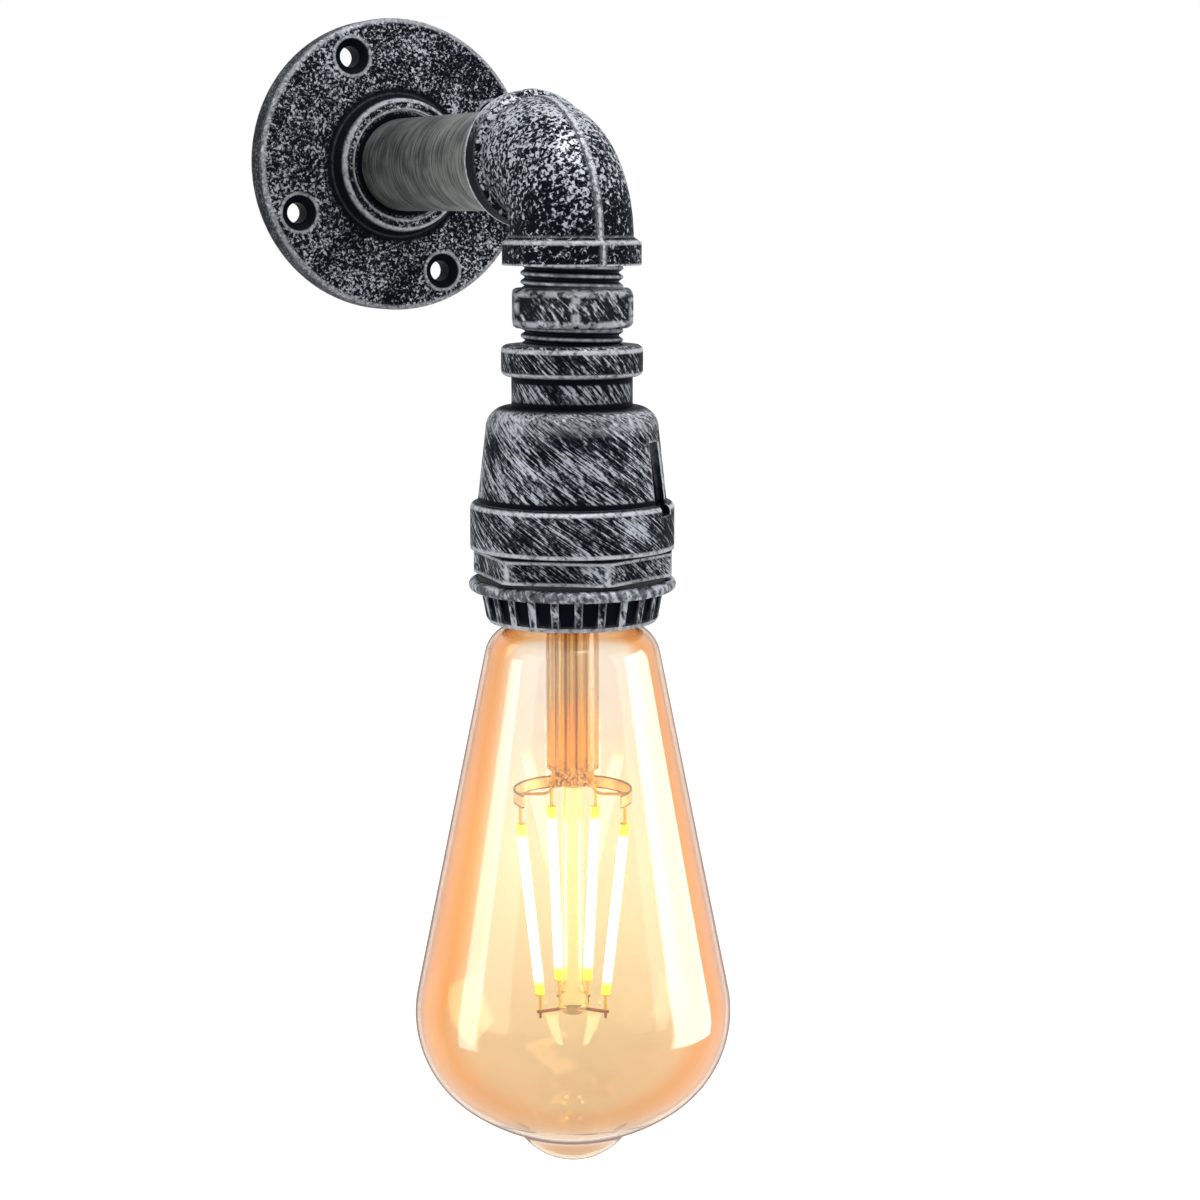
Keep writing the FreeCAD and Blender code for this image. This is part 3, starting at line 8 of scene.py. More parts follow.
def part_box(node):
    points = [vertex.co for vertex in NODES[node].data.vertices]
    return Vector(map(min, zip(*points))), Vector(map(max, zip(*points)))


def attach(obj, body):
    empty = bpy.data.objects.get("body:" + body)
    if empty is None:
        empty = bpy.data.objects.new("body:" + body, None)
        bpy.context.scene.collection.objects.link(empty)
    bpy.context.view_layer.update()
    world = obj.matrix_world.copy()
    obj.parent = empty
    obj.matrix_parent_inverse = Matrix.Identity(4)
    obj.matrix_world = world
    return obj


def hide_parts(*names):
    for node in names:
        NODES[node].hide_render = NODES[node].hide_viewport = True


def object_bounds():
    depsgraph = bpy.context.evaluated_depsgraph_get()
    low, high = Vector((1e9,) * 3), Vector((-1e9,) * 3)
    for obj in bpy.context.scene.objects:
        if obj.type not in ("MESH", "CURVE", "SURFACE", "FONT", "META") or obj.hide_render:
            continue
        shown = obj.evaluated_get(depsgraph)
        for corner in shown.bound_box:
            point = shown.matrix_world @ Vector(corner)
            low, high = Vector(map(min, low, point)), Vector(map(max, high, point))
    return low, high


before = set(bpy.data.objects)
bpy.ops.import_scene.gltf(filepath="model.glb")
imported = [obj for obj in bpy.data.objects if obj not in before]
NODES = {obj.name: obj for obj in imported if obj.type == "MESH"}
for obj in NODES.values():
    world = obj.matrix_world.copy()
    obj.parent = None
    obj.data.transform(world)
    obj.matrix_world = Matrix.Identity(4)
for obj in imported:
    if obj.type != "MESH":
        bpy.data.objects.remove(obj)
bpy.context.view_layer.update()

# Looks of the pipe wall light. Metres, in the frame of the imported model: wall at y = 0, room towards -Y.

MM = 0.001

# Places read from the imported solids.
LAMP_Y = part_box("cap_tip")[0].y / 2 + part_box("cap_tip")[1].y / 2
LAMP_AXIS = (0, LAMP_Y, 0)
FLANGE_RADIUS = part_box("wall_flange")[1].x
ELBOW_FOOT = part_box("pipe_elbow")[0].z
ELBOW_WALL_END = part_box("pipe_elbow")[1].y
HOLDER_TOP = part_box("holder_cap")[1].z
RING_LOW, RING_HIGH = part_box("shade_ring")
NIPPLE_LOW, NIPPLE_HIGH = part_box("hex_nipple")
CAP_LOW, CAP_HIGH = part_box("cap_shell")
STEM_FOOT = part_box("bulb_stem")[0].z


def rgb(*values):
    return (*values, 1.0)


# ---------------------------------------------------------------- node materials

class Look:
    """A node material being made. Every call that makes a node returns one of its outputs."""

    def __init__(self, name, **fixed):
        self.material = bpy.data.materials.new(name)
        self.material.use_nodes = True
        self.tree = self.material.node_tree
        self.shader = self.tree.nodes["Principled BSDF"]
        for socket, value in fixed.items():
            self.shader.inputs[socket.replace("_", " ")].default_value = value
        self.place = self.add("TexCoord", output="Object")

    def add(self, kind, output=0, props=None, **sockets):
        """A new node. Its sockets are fed by name, or by number as _0, _1 and so on."""
        node = self.tree.nodes.new("ShaderNode" + kind)
        for key, value in (props or {}).items():
            setattr(node, key, value)
        for key, value in sockets.items():
            socket = int(key[1:]) if key[0] == "_" else key.replace("_", " ")
            self.feed(node.inputs[socket], value)
        return node.outputs[output]

    def feed(self, socket, value):
        if isinstance(value, bpy.types.NodeSocket):
            self.tree.links.new(value, socket)
        else:
            socket.default_value = value

    def set(self, **sockets):
        for key, value in sockets.items():
            self.feed(self.shader.inputs[key.replace("_", " ")], value)

    # numbers

    def math(self, operation, first, second=0.0):
        return self.add("Math", props={"operation": operation}, _0=first, _1=second)

    def fold(self, operation, values):
        total = values[0]
        for value in values[1:]:
            total = self.math(operation, total, value)
        return total

    def sum(self, *values):
        return self.fold("ADD", values)

    def times(self, *values):
        return self.fold("MULTIPLY", values)

    def strongest(self, *masks):
        return self.fold("MAXIMUM", masks)

    def inverse(self, mask):
        return self.math("SUBTRACT", 1.0, mask)

    def step(self, value, low, high, start=0.0, end=1.0):
        """A value brought from low..high to start..end, held at the ends."""
        return self.add("MapRange", _0=value, _1=low, _2=high, _3=start, _4=end)

    def spread(self, noise, start=0.0, end=1.0):
        """A noise, nearly all of which lies between 0.3 and 0.7, brought to start..end."""
        return self.step(noise, 0.3, 0.7, start, end)

    def near(self, value, target, half, core=0.4):
        """1 where a value is at its target, out to a share of half, and 0 from half away."""
        off = self.math("ABSOLUTE", self.math("SUBTRACT", value, target))
        return self.step(off, core * half, half, 1.0, 0.0)

    def between(self, value, low, high):
        """1 where a value lies between low and high, and 0 elsewhere."""
        return self.times(self.math("GREATER_THAN", value, low), self.math("LESS_THAN", value, high))

    # colours and relief

    def colour(self, factor, first, second):
        return self.add("Mix", output=2, props={"data_type": "RGBA"}, _0=factor, _6=first, _7=second)

    def ramp(self, factor, *stops):
        """Colours by (position, colour) stops along a factor."""
        output = self.add("ValToRGB", _0=factor)
        elements = output.node.color_ramp.elements
        for index, (position, colour) in enumerate(stops):
            element = elements[index] if index < 2 else elements.new(position)
            element.position = position
            element.color = colour
        return output

    def noise(self, vector, scale, detail=3.0, rough=0.55, warp=0.0):
        return self.add("TexNoise", Vector=vector, Scale=scale, Detail=detail, Roughness=rough,
                        Distortion=warp)

    def bump(self, height, depth):
        self.set(Normal=self.add("Bump", Height=height, Distance=depth, Strength=1.0))

    # places on the surface

    def vector(self, operation, *values, output=0):
        sockets = {f"_{index}": value for index, value in enumerate(values)}
        return self.add("VectorMath", output, {"operation": operation}, **sockets)

    def scaled(self, vector, factors):
        return self.vector("MULTIPLY", vector, factors)

    def upright(self):
        return self.add("SeparateXYZ", output="Z", _0=self.place)

    def split(self, centre=(0, 0, 0)):
        """x, y and z measured from a centre."""
        moved = self.vector("SUBTRACT", self.place, centre)
        parts = self.add("SeparateXYZ", _0=moved).node.outputs
        return parts[0], parts[1], parts[2]

    def distance(self, centre, factors):
        """Distance from a line through the centre, along the axis whose factor is 0."""
        moved = self.vector("SUBTRACT", self.place, centre)
        return self.vector("LENGTH", self.scaled(moved, factors), output="Value")

    def bearing(self):
        """Angle round the lamp axis, from -Y towards +X."""
        side, along, _ = self.split(LAMP_AXIS)
        return self.math("ARCTAN2", side, self.times(along, -1.0))

    def sector(self, bearing):
        """An angle taken from the nearest of six corners."""
        turned = self.sum(bearing, math.radians(30 + 360))
        return self.math("SUBTRACT", self.math("MODULO", turned, math.radians(60)), math.radians(30))

    def twisted(self, turn, across, along):
        """Coordinates wound round the lamp axis, so that what runs along them makes slanting strokes."""
        wound = self.add("VectorRotate", props={"rotation_type": "Z_AXIS"},
                         Vector=self.place, Center=LAMP_AXIS, Angle=self.times(self.upright(), turn))
        return self.scaled(wound, (across, across, along))

    def facing(self):
        """0 where the surface is looked at squarely and 1 along its outline."""
        return self.add("LayerWeight", output="Facing", Blend=0.5)

    def edges(self, radius, flat=0.012, bent=0.10):
        """1 on an edge and 0 on a face, by how far a bevel of this radius turns the surface."""
        rounded = self.add("Bevel", props={"samples": 4}, Radius=radius)
        normal = self.add("NewGeometry", output="Normal")
        same = self.vector("DOT_PRODUCT", rounded, normal, output="Value")
        return self.step(same, 1 - flat, 1 - bent)

    def occlusion_for_painted_shade(self, reach):
        """1 in the open and 0 deep in a corner; it darkens corners as painted shade."""
        return self.add("AmbientOcclusion", output="AO", props={"samples": 4}, Distance=reach)


# ---------------------------------------------------------------- looks of metal and plain stuff

BLACK = rgb(0.0040, 0.0050, 0.0092)
SILVER = rgb(0.52, 0.55, 0.615)
EDGE = rgb(0.58, 0.60, 0.64)
TONE_CONTRAST = 3.2
PAINT_TO_SILVER_METALLIC = (0.0, 0.35)
PAINT_TO_SILVER_ROUGHNESS = (0.55, 0.42)
EDGE_WEAR = 0.6


def worn_metal_with_painted_shade(name, grain, marks, depth=0.06 * MM, edge=1.1 * MM, reach=1.6 * MM, shade=(0.25, 0.85)):
    """Black paint with silver worn through on its high places, and painted shade in its corners and
    hollows.

    grain gives the tone from the look, and marks the worn edges, painted highlights and painted shade of
    its shape.
    depth is the relief of the grain, edge the size of edges, and corners within reach get painted shade, as
    deep as shade says.
    """
    look = Look(name, Specular_IOR_Level=0.03)
    # The first marks are worn edges, with painted highlights on some pieces; the second are painted shade.
    rubbed_and_highlight, painted_shade = marks(look)
    patches = look.step(look.noise(look.place, 900.0, 2.0), 0.32, 0.52, 0.30, 1.0)
    rubbed_and_highlight = look.times(look.strongest(rubbed_and_highlight, look.times(look.edges(edge), EDGE_WEAR)), patches)
    # Painted shade: darker in corners and hollows, by ambient occlusion.
    painted_corner_shade = look.step(look.occlusion_for_painted_shade(reach), *shade)
    tone = look.times(grain(look), look.times(painted_corner_shade, look.inverse(painted_shade)))
    # Worn edges and painted highlights, with none where shade is painted.
    worn = look.times(rubbed_and_highlight, look.inverse(painted_shade))
    paint = look.colour(look.math("POWER", tone, TONE_CONTRAST), BLACK, SILVER)
    silver = look.strongest(tone, worn)
    look.set(Base_Color=look.colour(worn, paint, EDGE),
             Metallic=look.step(silver, 0, 1, *PAINT_TO_SILVER_METALLIC),
             Roughness=look.step(silver, 0, 1, *PAINT_TO_SILVER_ROUGHNESS))
    look.bump(tone, depth)
    return look.material


def cast_grain(scale, low, high, wear, painted_top_light=None):
    """Pebbled grain, worn in patches of the scale wear.

    The heights of the last argument bound a painted light from above, which lightens the grain upwards.
    """
    def grain(look):
        pebbles = look.noise(look.place, scale, 2.0, 0.6, 0.6)
        shift = look.spread(look.noise(look.place, wear, 2.0), -0.06, 0.06)
        if painted_top_light:
            # Painted light from above: the grain lightens upwards between the given heights.
            shift = look.sum(shift, look.step(look.upright(), *painted_top_light, -0.045, 0.06))
        return look.step(look.sum(pebbles, shift), low, high)
    return grain


def strokes(turn, width, length, low, high):
    """Brush strokes that slant round the lamp axis by turn radians per metre, crossed by wider ones."""
    def grain(look):
        slanted = look.noise(look.twisted(turn, 1.0 / width, 1.0 / length), 1.0, 3.0, 0.6, 0.4)
        crossed = look.noise(look.twisted(turn * 0.45, 0.7 / width, 1.0 / length), 1.0, 2.0)
        fine = look.noise(look.place, 1300.0, 2.0, 0.6)
        shift = look.spread(look.noise(look.place, 110.0, 2.0), -0.05, 0.05)
        brushed = look.sum(look.times(slanted, 0.55), look.times(crossed, 0.25), look.times(fine, 0.2),
                           shift)
        return look.step(brushed, low, high)
    return grain


def pipe_look():
    """Grey steel with fine rings round it and broad darker patches."""
    look = Look("pipe_steel")
    rings = look.noise(look.scaled(look.place, (90.0, 1500.0, 90.0)), 1.0, 3.0, 0.6, 0.5)
    broad = look.noise(look.place, 160.0, 3.0)
    tone = look.sum(look.times(rings, 0.6), look.times(broad, 0.4))
    dark_steel = rgb(0.022, 0.025, 0.024)
    light_steel = rgb(0.20, 0.215, 0.20)
    look.set(Base_Color=look.colour(look.step(tone, 0.42, 0.61), dark_steel, light_steel),
             Metallic=0.4, Roughness=look.spread(rings, 0.5, 0.36))
    look.bump(rings, 0.04 * MM)
    return look.material


def simple(name, colour, variation=0.12, scale=400.0, roughness=0.5, metallic=0.0, depth=0.02 * MM):
    """A plain finish with slight colour variation and a fine surface."""
    look = Look(name)
    cloud = look.noise(look.place, scale, 4.0)
    darker = rgb(*(part * (1 - variation) for part in colour))
    lighter = rgb(*(min(1.0, part * (1 + variation)) for part in colour))
    look.set(Base_Color=look.colour(look.spread(cloud), darker, lighter), Metallic=metallic,
             Roughness=look.spread(cloud, roughness * 0.85, min(1.0, roughness * 1.15)))
    look.bump(cloud, depth)
    return look.material


# ---------------------------------------------------------------- meshes

def shown(name, mesh, material, smooth=True):
    """An object of the scene that shows a mesh in one material."""
    mesh.polygons.foreach_set("use_smooth", [smooth] * len(mesh.polygons))
    mesh.materials.append(material)
    item = bpy.data.objects.new(name, mesh)
    bpy.context.scene.collection.objects.link(item)
    return item


def mesh_object(name, points, faces, material, smooth=True):
    mesh = bpy.data.meshes.new(name)
    mesh.from_pydata(points, [], faces)
    mesh.update()
    return shown(name, mesh, material, smooth)


def polar_solid(name, levels, radius_at, bore_at, material, columns=240):
    """A ring-shaped solid on the lamp axis, whose radius and bore are functions of angle and height."""
    points = []
    for wall_radius in (radius_at, bore_at):
        for height in levels:
            for column in range(columns):
                angle = 2 * math.pi * column / columns
                radius = wall_radius(angle, height)
                points.append((radius * math.sin(angle), LAMP_Y - radius * math.cos(angle), height))
    rows = len(levels)
    inner = rows * columns
    faces = []
    for row in range(rows - 1):
        for column in range(columns):
            after = (column + 1) % columns
            a, b = row * columns + column, row * columns + after
            c, d = a + columns, b + columns
            faces.append((a, b, d, c))
            faces.append((inner + c, inner + d, inner + b, inner + a))
    for row, flip in ((0, False), (rows - 1, True)):
        for column in range(columns):
            after = (column + 1) % columns
            quad = (row * columns + column, inner + row * columns + column,
                    inner + row * columns + after, row * columns + after)
            faces.append(quad[::-1] if flip else quad)
    return mesh_object(name, points, faces, material)


def steps(low, high, step):
    """Heights from low to high, about a step apart."""
    count = max(1, round((high - low) / step))
    return [low + (high - low) * k / count for k in range(count + 1)]


def held(value):
    """A value held between 0 and 1."""
    return min(1.0, max(0.0, value))


def thread_wave(angle, height, pitch):
    """0 in the root and 1 on the crest of a right-hand thread, with straight flanks in between."""
    phase = (height / pitch + angle / (2 * math.pi)) % 1.0
    return abs(2 * phase - 1)


# ---------------------------------------------------------------- nipple

PIPE_PITCH = 1.814 * MM
CREST = 10.4775 * MM
ROOT = 9.65 * MM
ROOT_SHARE = 0.14
FLANK_SHARE = 0.62
RUN_OUT = 0.5 * MM
NIPPLE_BORE = 7.3 * MM
HEX_TURN = math.radians(-23.0)
HEX_TOP = ELBOW_FOOT - 4.6 * MM
HEX_FOOT = HEX_TOP - 8.0 * MM
HEX_HALF_WIDTH = 12.0 * MM
HEX_END = HEX_HALF_WIDTH * 0.96
HEX_CHAMFER = math.radians(30)
HEX_LINE = 0.9 * MM
THREAD_STEP = 0.12 * MM
HEX_STEP = 0.16 * MM
STEP_GAP = 0.001 * MM


def nipple_radius(angle, height):
    """Threads above and below a hexagon with chamfered ends."""
    if HEX_FOOT <= height <= HEX_TOP:
        within = (angle - HEX_TURN + math.pi / 6) % (math.pi / 3) - math.pi / 6
        side = HEX_HALF_WIDTH / math.cos(math.pi / 6 - abs(within))
        cone = HEX_END + min(HEX_TOP - height, height - HEX_FOOT) / math.tan(HEX_CHAMFER)
        return min(side, cone)
    run_out = min(abs(height - HEX_TOP), abs(height - HEX_FOOT))
    depth = (CREST - ROOT) * min(1.0, run_out / RUN_OUT)
    wave = held((thread_wave(angle, height, PIPE_PITCH) - ROOT_SHARE) / FLANK_SHARE)
    return CREST - depth * (1 - wave)


def nipple_bore(angle, height):
    return NIPPLE_BORE


def nipple_look():
    """Worn paint on the hexagon, and threads with dark paint in their roots and a painted highlight on
    their crests.
    """
    look = Look("nipple_thread", Specular_IOR_Level=0.08)
    upright = look.upright()
    in_hexagon = look.between(upright, HEX_FOOT - 0.05 * MM, HEX_TOP + 0.05 * MM)
    high = look.step(look.distance(LAMP_AXIS, (1, 1, 0)), ROOT, CREST)
    patches = look.step(look.noise(look.place, 700.0, 3.0), 0.35, 0.65, 0.35, 1.0)
    # Painted highlight on the thread crests, broken in patches.
    crest_highlight = look.times(look.math("POWER", high, 4.0), patches)
    brushed = look.times(strokes(70.0, 0.9 * MM, 3.5 * MM, 0.46, 0.605)(look), in_hexagon)
    on_threads = look.inverse(in_hexagon)
    tone = look.strongest(look.math("POWER", brushed, TONE_CONTRAST), look.times(crest_highlight, on_threads))

    corner = look.sector(look.math("SUBTRACT", look.bearing(), HEX_TURN))
    lines = look.strongest(look.near(upright, HEX_TOP - HEX_LINE, HEX_LINE),
                           look.near(upright, HEX_FOOT + HEX_LINE, HEX_LINE),
                           look.near(corner, 0.0, math.radians(5)))
    broken = look.step(look.noise(look.place, 500.0, 2.0), 0.40, 0.56)
    worn = look.strongest(look.times(lines, broken), look.times(look.edges(0.8 * MM), 0.7))
    look.set(Base_Color=look.colour(look.times(worn, in_hexagon), look.colour(tone, BLACK, SILVER), EDGE),
             Metallic=look.step(tone, 0, 1, *PAINT_TO_SILVER_METALLIC), Roughness=0.45)
    look.bump(brushed, 0.08 * MM)
    return look.material


nipple_levels = (steps(NIPPLE_LOW.z, HEX_FOOT - STEP_GAP, THREAD_STEP)
                 + steps(HEX_FOOT, HEX_TOP, HEX_STEP)
                 + steps(HEX_TOP + STEP_GAP, NIPPLE_HIGH.z, THREAD_STEP))
nipple = polar_solid("threaded_nipple", nipple_levels, nipple_radius, nipple_bore, nipple_look())
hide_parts("hex_nipple")
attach(nipple, "fixture")


# ---------------------------------------------------------------- lamp cap

LAMP_PITCH = 3.629 * MM
CAP_RADIUS = (CAP_HIGH.x - CAP_LOW.x) / 2
CAP_SHEET = 0.3 * MM
CAP_DEPTH = 1.05 * MM
CAP_FOOT = CAP_LOW.z + 5.6 * MM
CAP_TOP = CAP_HIGH.z - 1.2 * MM
CAP_EASE = 1.5 * MM
CAP_RIM_BEND = 0.3 * MM
CAP_LIP = 0.35 * MM
CAP_LIP_BORE = 11.3 * MM
CAP_LIP_GAP = 0.01 * MM


def cap_radius(angle, height):
    """Rounded lamp thread that fades out towards both ends, under a rim bent inwards."""
    faded = held((height - CAP_FOOT) / CAP_EASE) * held((CAP_TOP - height) / CAP_EASE)
    wave = 0.5 - 0.5 * math.cos(math.pi * thread_wave(angle, height, LAMP_PITCH))
    rim = max(0.0, height - (CAP_HIGH.z - CAP_RIM_BEND))
    return CAP_RADIUS - CAP_DEPTH * faded * (1 - wave) - rim


def cap_bore(angle, height):
    if height > CAP_HIGH.z - CAP_LIP:
        return CAP_LIP_BORE
    return cap_radius(angle, height) - CAP_SHEET


nickel = simple("lamp_nickel", (0.50, 0.49, 0.46), 0.12, 300.0, roughness=0.34, metallic=1.0,
                depth=0.01 * MM)
cap_levels = (steps(CAP_LOW.z, CAP_HIGH.z - CAP_LIP - CAP_LIP_GAP, 0.25 * MM)
              + steps(CAP_HIGH.z - CAP_LIP + CAP_LIP_GAP, CAP_HIGH.z, 0.17 * MM))
cap = polar_solid("threaded_cap", cap_levels, cap_radius, cap_bore, nickel, 144)
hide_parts("cap_shell")
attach(cap, "lamp")


# ---------------------------------------------------------------- where the cast pieces are worn, and where shade and highlights are painted

FLANGE_FRONT = -6.9 * MM
BOLT_RADIUS = 27.1 * MM
BOLT_TURN = math.radians(24.1)
COUNTERSINK_RADIUS = 4.25 * MM
HUB_FOOT_RADIUS = 16.5 * MM
HUB_RIM_RADIUS = 14.9 * MM
HUB_MOUTH_RADIUS = 12.7 * MM
ELBOW_BAND = 4.6 * MM
ELBOW_WALL_BAND_MIDDLE = 2.8 * MM
SKIRT_TURN = math.radians(-6.3)
SLOT_TURN = math.radians(38.5)
RIB_TURN = SLOT_TURN + math.radians(6.9)
STROKE_TURN = 75.0
RING_FLANGE = 2.4 * MM
GRIP_FOOT_RADIUS = 17.4 * MM
GRIP_TOP_RADIUS = 18.95 * MM

# Marks on the holder: how far below its top in millimetres, and half their width.
RUBBED_EDGES = ((1.0, 0.6), (5.9, 0.6), (32.8, 0.55), (41.3, 0.6))
# Grooves that get painted shade.
PAINTED_SHADE_GROOVES = ((6.9, 0.9), (12.3, 1.0), (31.6, 0.8), (42.1, 0.6))
HEXAGON_LINES = ((42.7, 0.5), (47.1, 0.6))
# The shoulder band that gets a painted highlight.
SHOULDER_HIGHLIGHT = (14.8, 3.0)

# Lower and upper end, in millimetres below the top of the holder.
HEXAGON_ENDS = (47.5, 42.3)
SLOT_ENDS = (34.2, 19.4)


def flange_marks(look):
    """Worn rim, rings of the hub and mouths of the countersinks; painted shade on the side, slope, hub gap
    and holes.
    """
    out = look.distance((0, 0, 0), (1, 0, 1))
    _, depth, _ = look.split()
    on_front = look.math("LESS_THAN", depth, FLANGE_FRONT + 1.5 * MM)
    on_hub = look.math("LESS_THAN", depth, FLANGE_FRONT - 2.1 * MM)
    rim = look.times(look.near(out, FLANGE_RADIUS - 0.6 * MM, 0.7 * MM), on_front, 0.6)
    # Painted shade on the flange's outer side, darker towards the wall.
    side = look.times(look.step(out, FLANGE_RADIUS - 0.5 * MM, FLANGE_RADIUS - 0.1 * MM),
                      look.step(depth, FLANGE_FRONT + 0.7 * MM, FLANGE_FRONT + 1.3 * MM, 0.0, 0.35))
    rings = look.strongest(look.near(out, HUB_RIM_RADIUS, 0.60 * MM),
                           look.near(out, HUB_MOUTH_RADIUS, 0.45 * MM))
    hub = look.times(rings, on_hub)
    # Painted shade in the corner at the foot of the hub, and in the hub's mouth.
    slope_shade = look.times(look.near(out, HUB_FOOT_RADIUS, 1.9 * MM), 0.75, look.inverse(hub))
    gap_shade = look.step(out, 11.2 * MM, 11.9 * MM, 1.0, 0.0)
    from_holes = []
    for quarter in range(4):
        turn = BOLT_TURN + math.radians(90) * quarter
        centre = (BOLT_RADIUS * math.cos(turn), 0, BOLT_RADIUS * math.sin(turn))
        from_holes.append(look.distance(centre, (1, 0, 1)))
    away = look.fold("MINIMUM", from_holes)
    mouth = look.times(look.near(away, COUNTERSINK_RADIUS + 0.25 * MM, 0.5 * MM), 0.6)
    # Painted shade inside the countersinks.
    hole_shade = look.step(away, COUNTERSINK_RADIUS - 0.35 * MM, COUNTERSINK_RADIUS, 1.0, 0.0)
    return look.strongest(rim, hub, mouth), look.strongest(slope_shade, gap_shade, hole_shade, side)


def elbow_marks(look):
    """Parting line, the edges of both bands, and a painted shadow on the side of the band on the pipe."""
    side, along, upright = look.split()
    seam = look.near(side, 0.0, 0.5 * MM)
    low_edges = look.strongest(look.near(upright, ELBOW_FOOT + ELBOW_BAND, 0.6 * MM),
                               look.near(upright, ELBOW_FOOT, 0.5 * MM))
    wall_edge = look.near(along, ELBOW_WALL_END - 0.1 * MM, 0.8 * MM)
    # Painted shadow on the face of the band on the pipe, fading out upwards.
    band_shadow = look.near(along, ELBOW_WALL_END - ELBOW_WALL_BAND_MIDDLE, 2.1 * MM, 0.85)
    painted_shade = look.times(band_shadow, look.step(upright, 1.0 * MM, 10.0 * MM, 0.85, 0.0))
    return look.strongest(seam, low_edges, wall_edge), painted_shade


def holder_marks(look):
    """Worn edges of the collar, band and hexagon, painted highlights on the shoulder and rib; painted shade
    in the grooves and slot.
    """
    upright = look.upright()
    bearing = look.bearing()

    def lines(marks):
        return [look.near(upright, HOLDER_TOP - drop * MM, half * MM) for drop, half in marks]

    def height_between(low, high):
        return look.between(upright, HOLDER_TOP - low * MM, HOLDER_TOP - high * MM)

    brushed = look.noise(look.twisted(STROKE_TURN, 1 / (0.6 * MM), 1 / (5 * MM)), 1.0, 2.0)
    # Painted highlight on the shoulder, broken by the brush strokes.
    shoulder_highlight = look.times(*lines([SHOULDER_HIGHLIGHT]), look.step(brushed, 0.38, 0.60, 0.05, 0.62))
    corner = look.sector(look.math("SUBTRACT", bearing, SKIRT_TURN))
    corners = look.times(look.near(corner, 0.0, math.radians(2.6)), height_between(*HEXAGON_ENDS))
    on_dome = height_between(*SLOT_ENDS)
    # Painted shade in the slot, beside the rib.
    slot_shade = look.times(look.near(bearing, SLOT_TURN, math.radians(5.8), 0.9), on_dome)
    # Painted highlight along the rib's edge.
    rib_highlight = look.times(look.near(bearing, RIB_TURN, math.radians(1.9)), on_dome)
    rubbed_and_highlight = look.strongest(*lines(RUBBED_EDGES), *lines(HEXAGON_LINES), shoulder_highlight, corners, rib_highlight)
    return rubbed_and_highlight, look.strongest(*lines(PAINTED_SHADE_GROOVES), look.times(slot_shade, look.inverse(rib_highlight)))


def ring_marks(look):
    """Worn flange and foot of the shade ring; painted shade in its recesses."""
    out = look.distance(LAMP_AXIS, (1, 1, 0))
    upright = look.upright()
    flange_foot = RING_HIGH.z - RING_FLANGE
    grip_radius = look.step(upright, RING_LOW.z, flange_foot, GRIP_FOOT_RADIUS, GRIP_TOP_RADIUS)
    # Painted shade in the recesses between the ribs of the grip.
    recess_shade = look.step(look.math("SUBTRACT", grip_radius, out), 0.25 * MM, 0.60 * MM)
    on_grip = look.between(upright, RING_LOW.z + 0.5 * MM, flange_foot + 0.1 * MM)
    flange = look.times(look.near(out, RING_HIGH.x, 0.9 * MM), 0.2)
    foot = look.times(look.near(upright, RING_LOW.z + 0.4 * MM, 0.7 * MM), 0.7)
    return look.strongest(flange, foot), look.times(recess_shade, on_grip)


# ---------------------------------------------------------------- finishes of the CAD nodes

def finish(material, *names):
    for name in names:
        slots = NODES[name].data.materials
        slots.clear()
        slots.append(material)


flange_grain = cast_grain(1650.0, 0.43, 0.63, wear=120.0)
# The elbow gets a painted light on its top.
elbow_grain = cast_grain(1150.0, 0.44, 0.60, wear=110.0, painted_top_light=(-14 * MM, 9 * MM))
holder_grain = strokes(STROKE_TURN, 0.62 * MM, 6.0 * MM, 0.435, 0.57)
ring_grain = strokes(20.0, 1.2 * MM, 3.0 * MM, 0.38, 0.56)
finish(worn_metal_with_painted_shade("flange_cast", flange_grain, flange_marks, depth=0.10 * MM, reach=2.4 * MM),
       "wall_flange")
finish(worn_metal_with_painted_shade("elbow_cast", elbow_grain, elbow_marks, depth=0.16 * MM, edge=0.8 * MM), "pipe_elbow")
finish(worn_metal_with_painted_shade("holder_cast", holder_grain, holder_marks, reach=3.0 * MM, shade=(0.40, 0.85)),
       "holder_cap", "holder_skirt")
finish(worn_metal_with_painted_shade("ring_cast", ring_grain, ring_marks, edge=0.7 * MM, reach=2.0 * MM, shade=(0.40, 0.80)),
       "shade_ring")
finish(pipe_look(), "wall_pipe")
finish(simple("rubber", (0.015, 0.015, 0.016), 0.2, 800.0, roughness=0.75), "shade_washer")
finish(simple("ceramic", (0.82, 0.80, 0.75), 0.05, 200.0, roughness=0.18), "socket_base")
finish(simple("brass", (0.72, 0.52, 0.20), 0.1, 500.0, roughness=0.3, metallic=1.0, depth=0.01 * MM),
       "screw_shell", "live_terminal", "neutral_terminal", "centre_contact", "earth_tag")
finish(simple("zinc", (0.6, 0.6, 0.58), 0.12, 900.0, roughness=0.35, metallic=1.0, depth=0.01 * MM),
       "clamp_screws", "fixing_screws", "earth_screw")
finish(simple("brown_sleeve", (0.16, 0.06, 0.025), 0.1, 300.0, roughness=0.45), "live_wire")
finish(simple("blue_sleeve", (0.03, 0.10, 0.42), 0.1, 300.0, roughness=0.45), "neutral_wire")
finish(nickel, "cap_tip")
finish(simple("black_insulator", (0.012, 0.012, 0.014), 0.2, 300.0, roughness=0.2), "cap_insulator")
finish(simple("cement", (0.72, 0.69, 0.60), 0.1, 900.0, roughness=0.85, depth=0.06 * MM), "cap_cement")
finish(simple("board", (0.02, 0.16, 0.06), 0.15, 500.0, roughness=0.4), "driver_board")
finish(simple("component", (0.02, 0.02, 0.022), 0.2, 500.0, roughness=0.35),
       "driver_capacitor", "driver_chip")
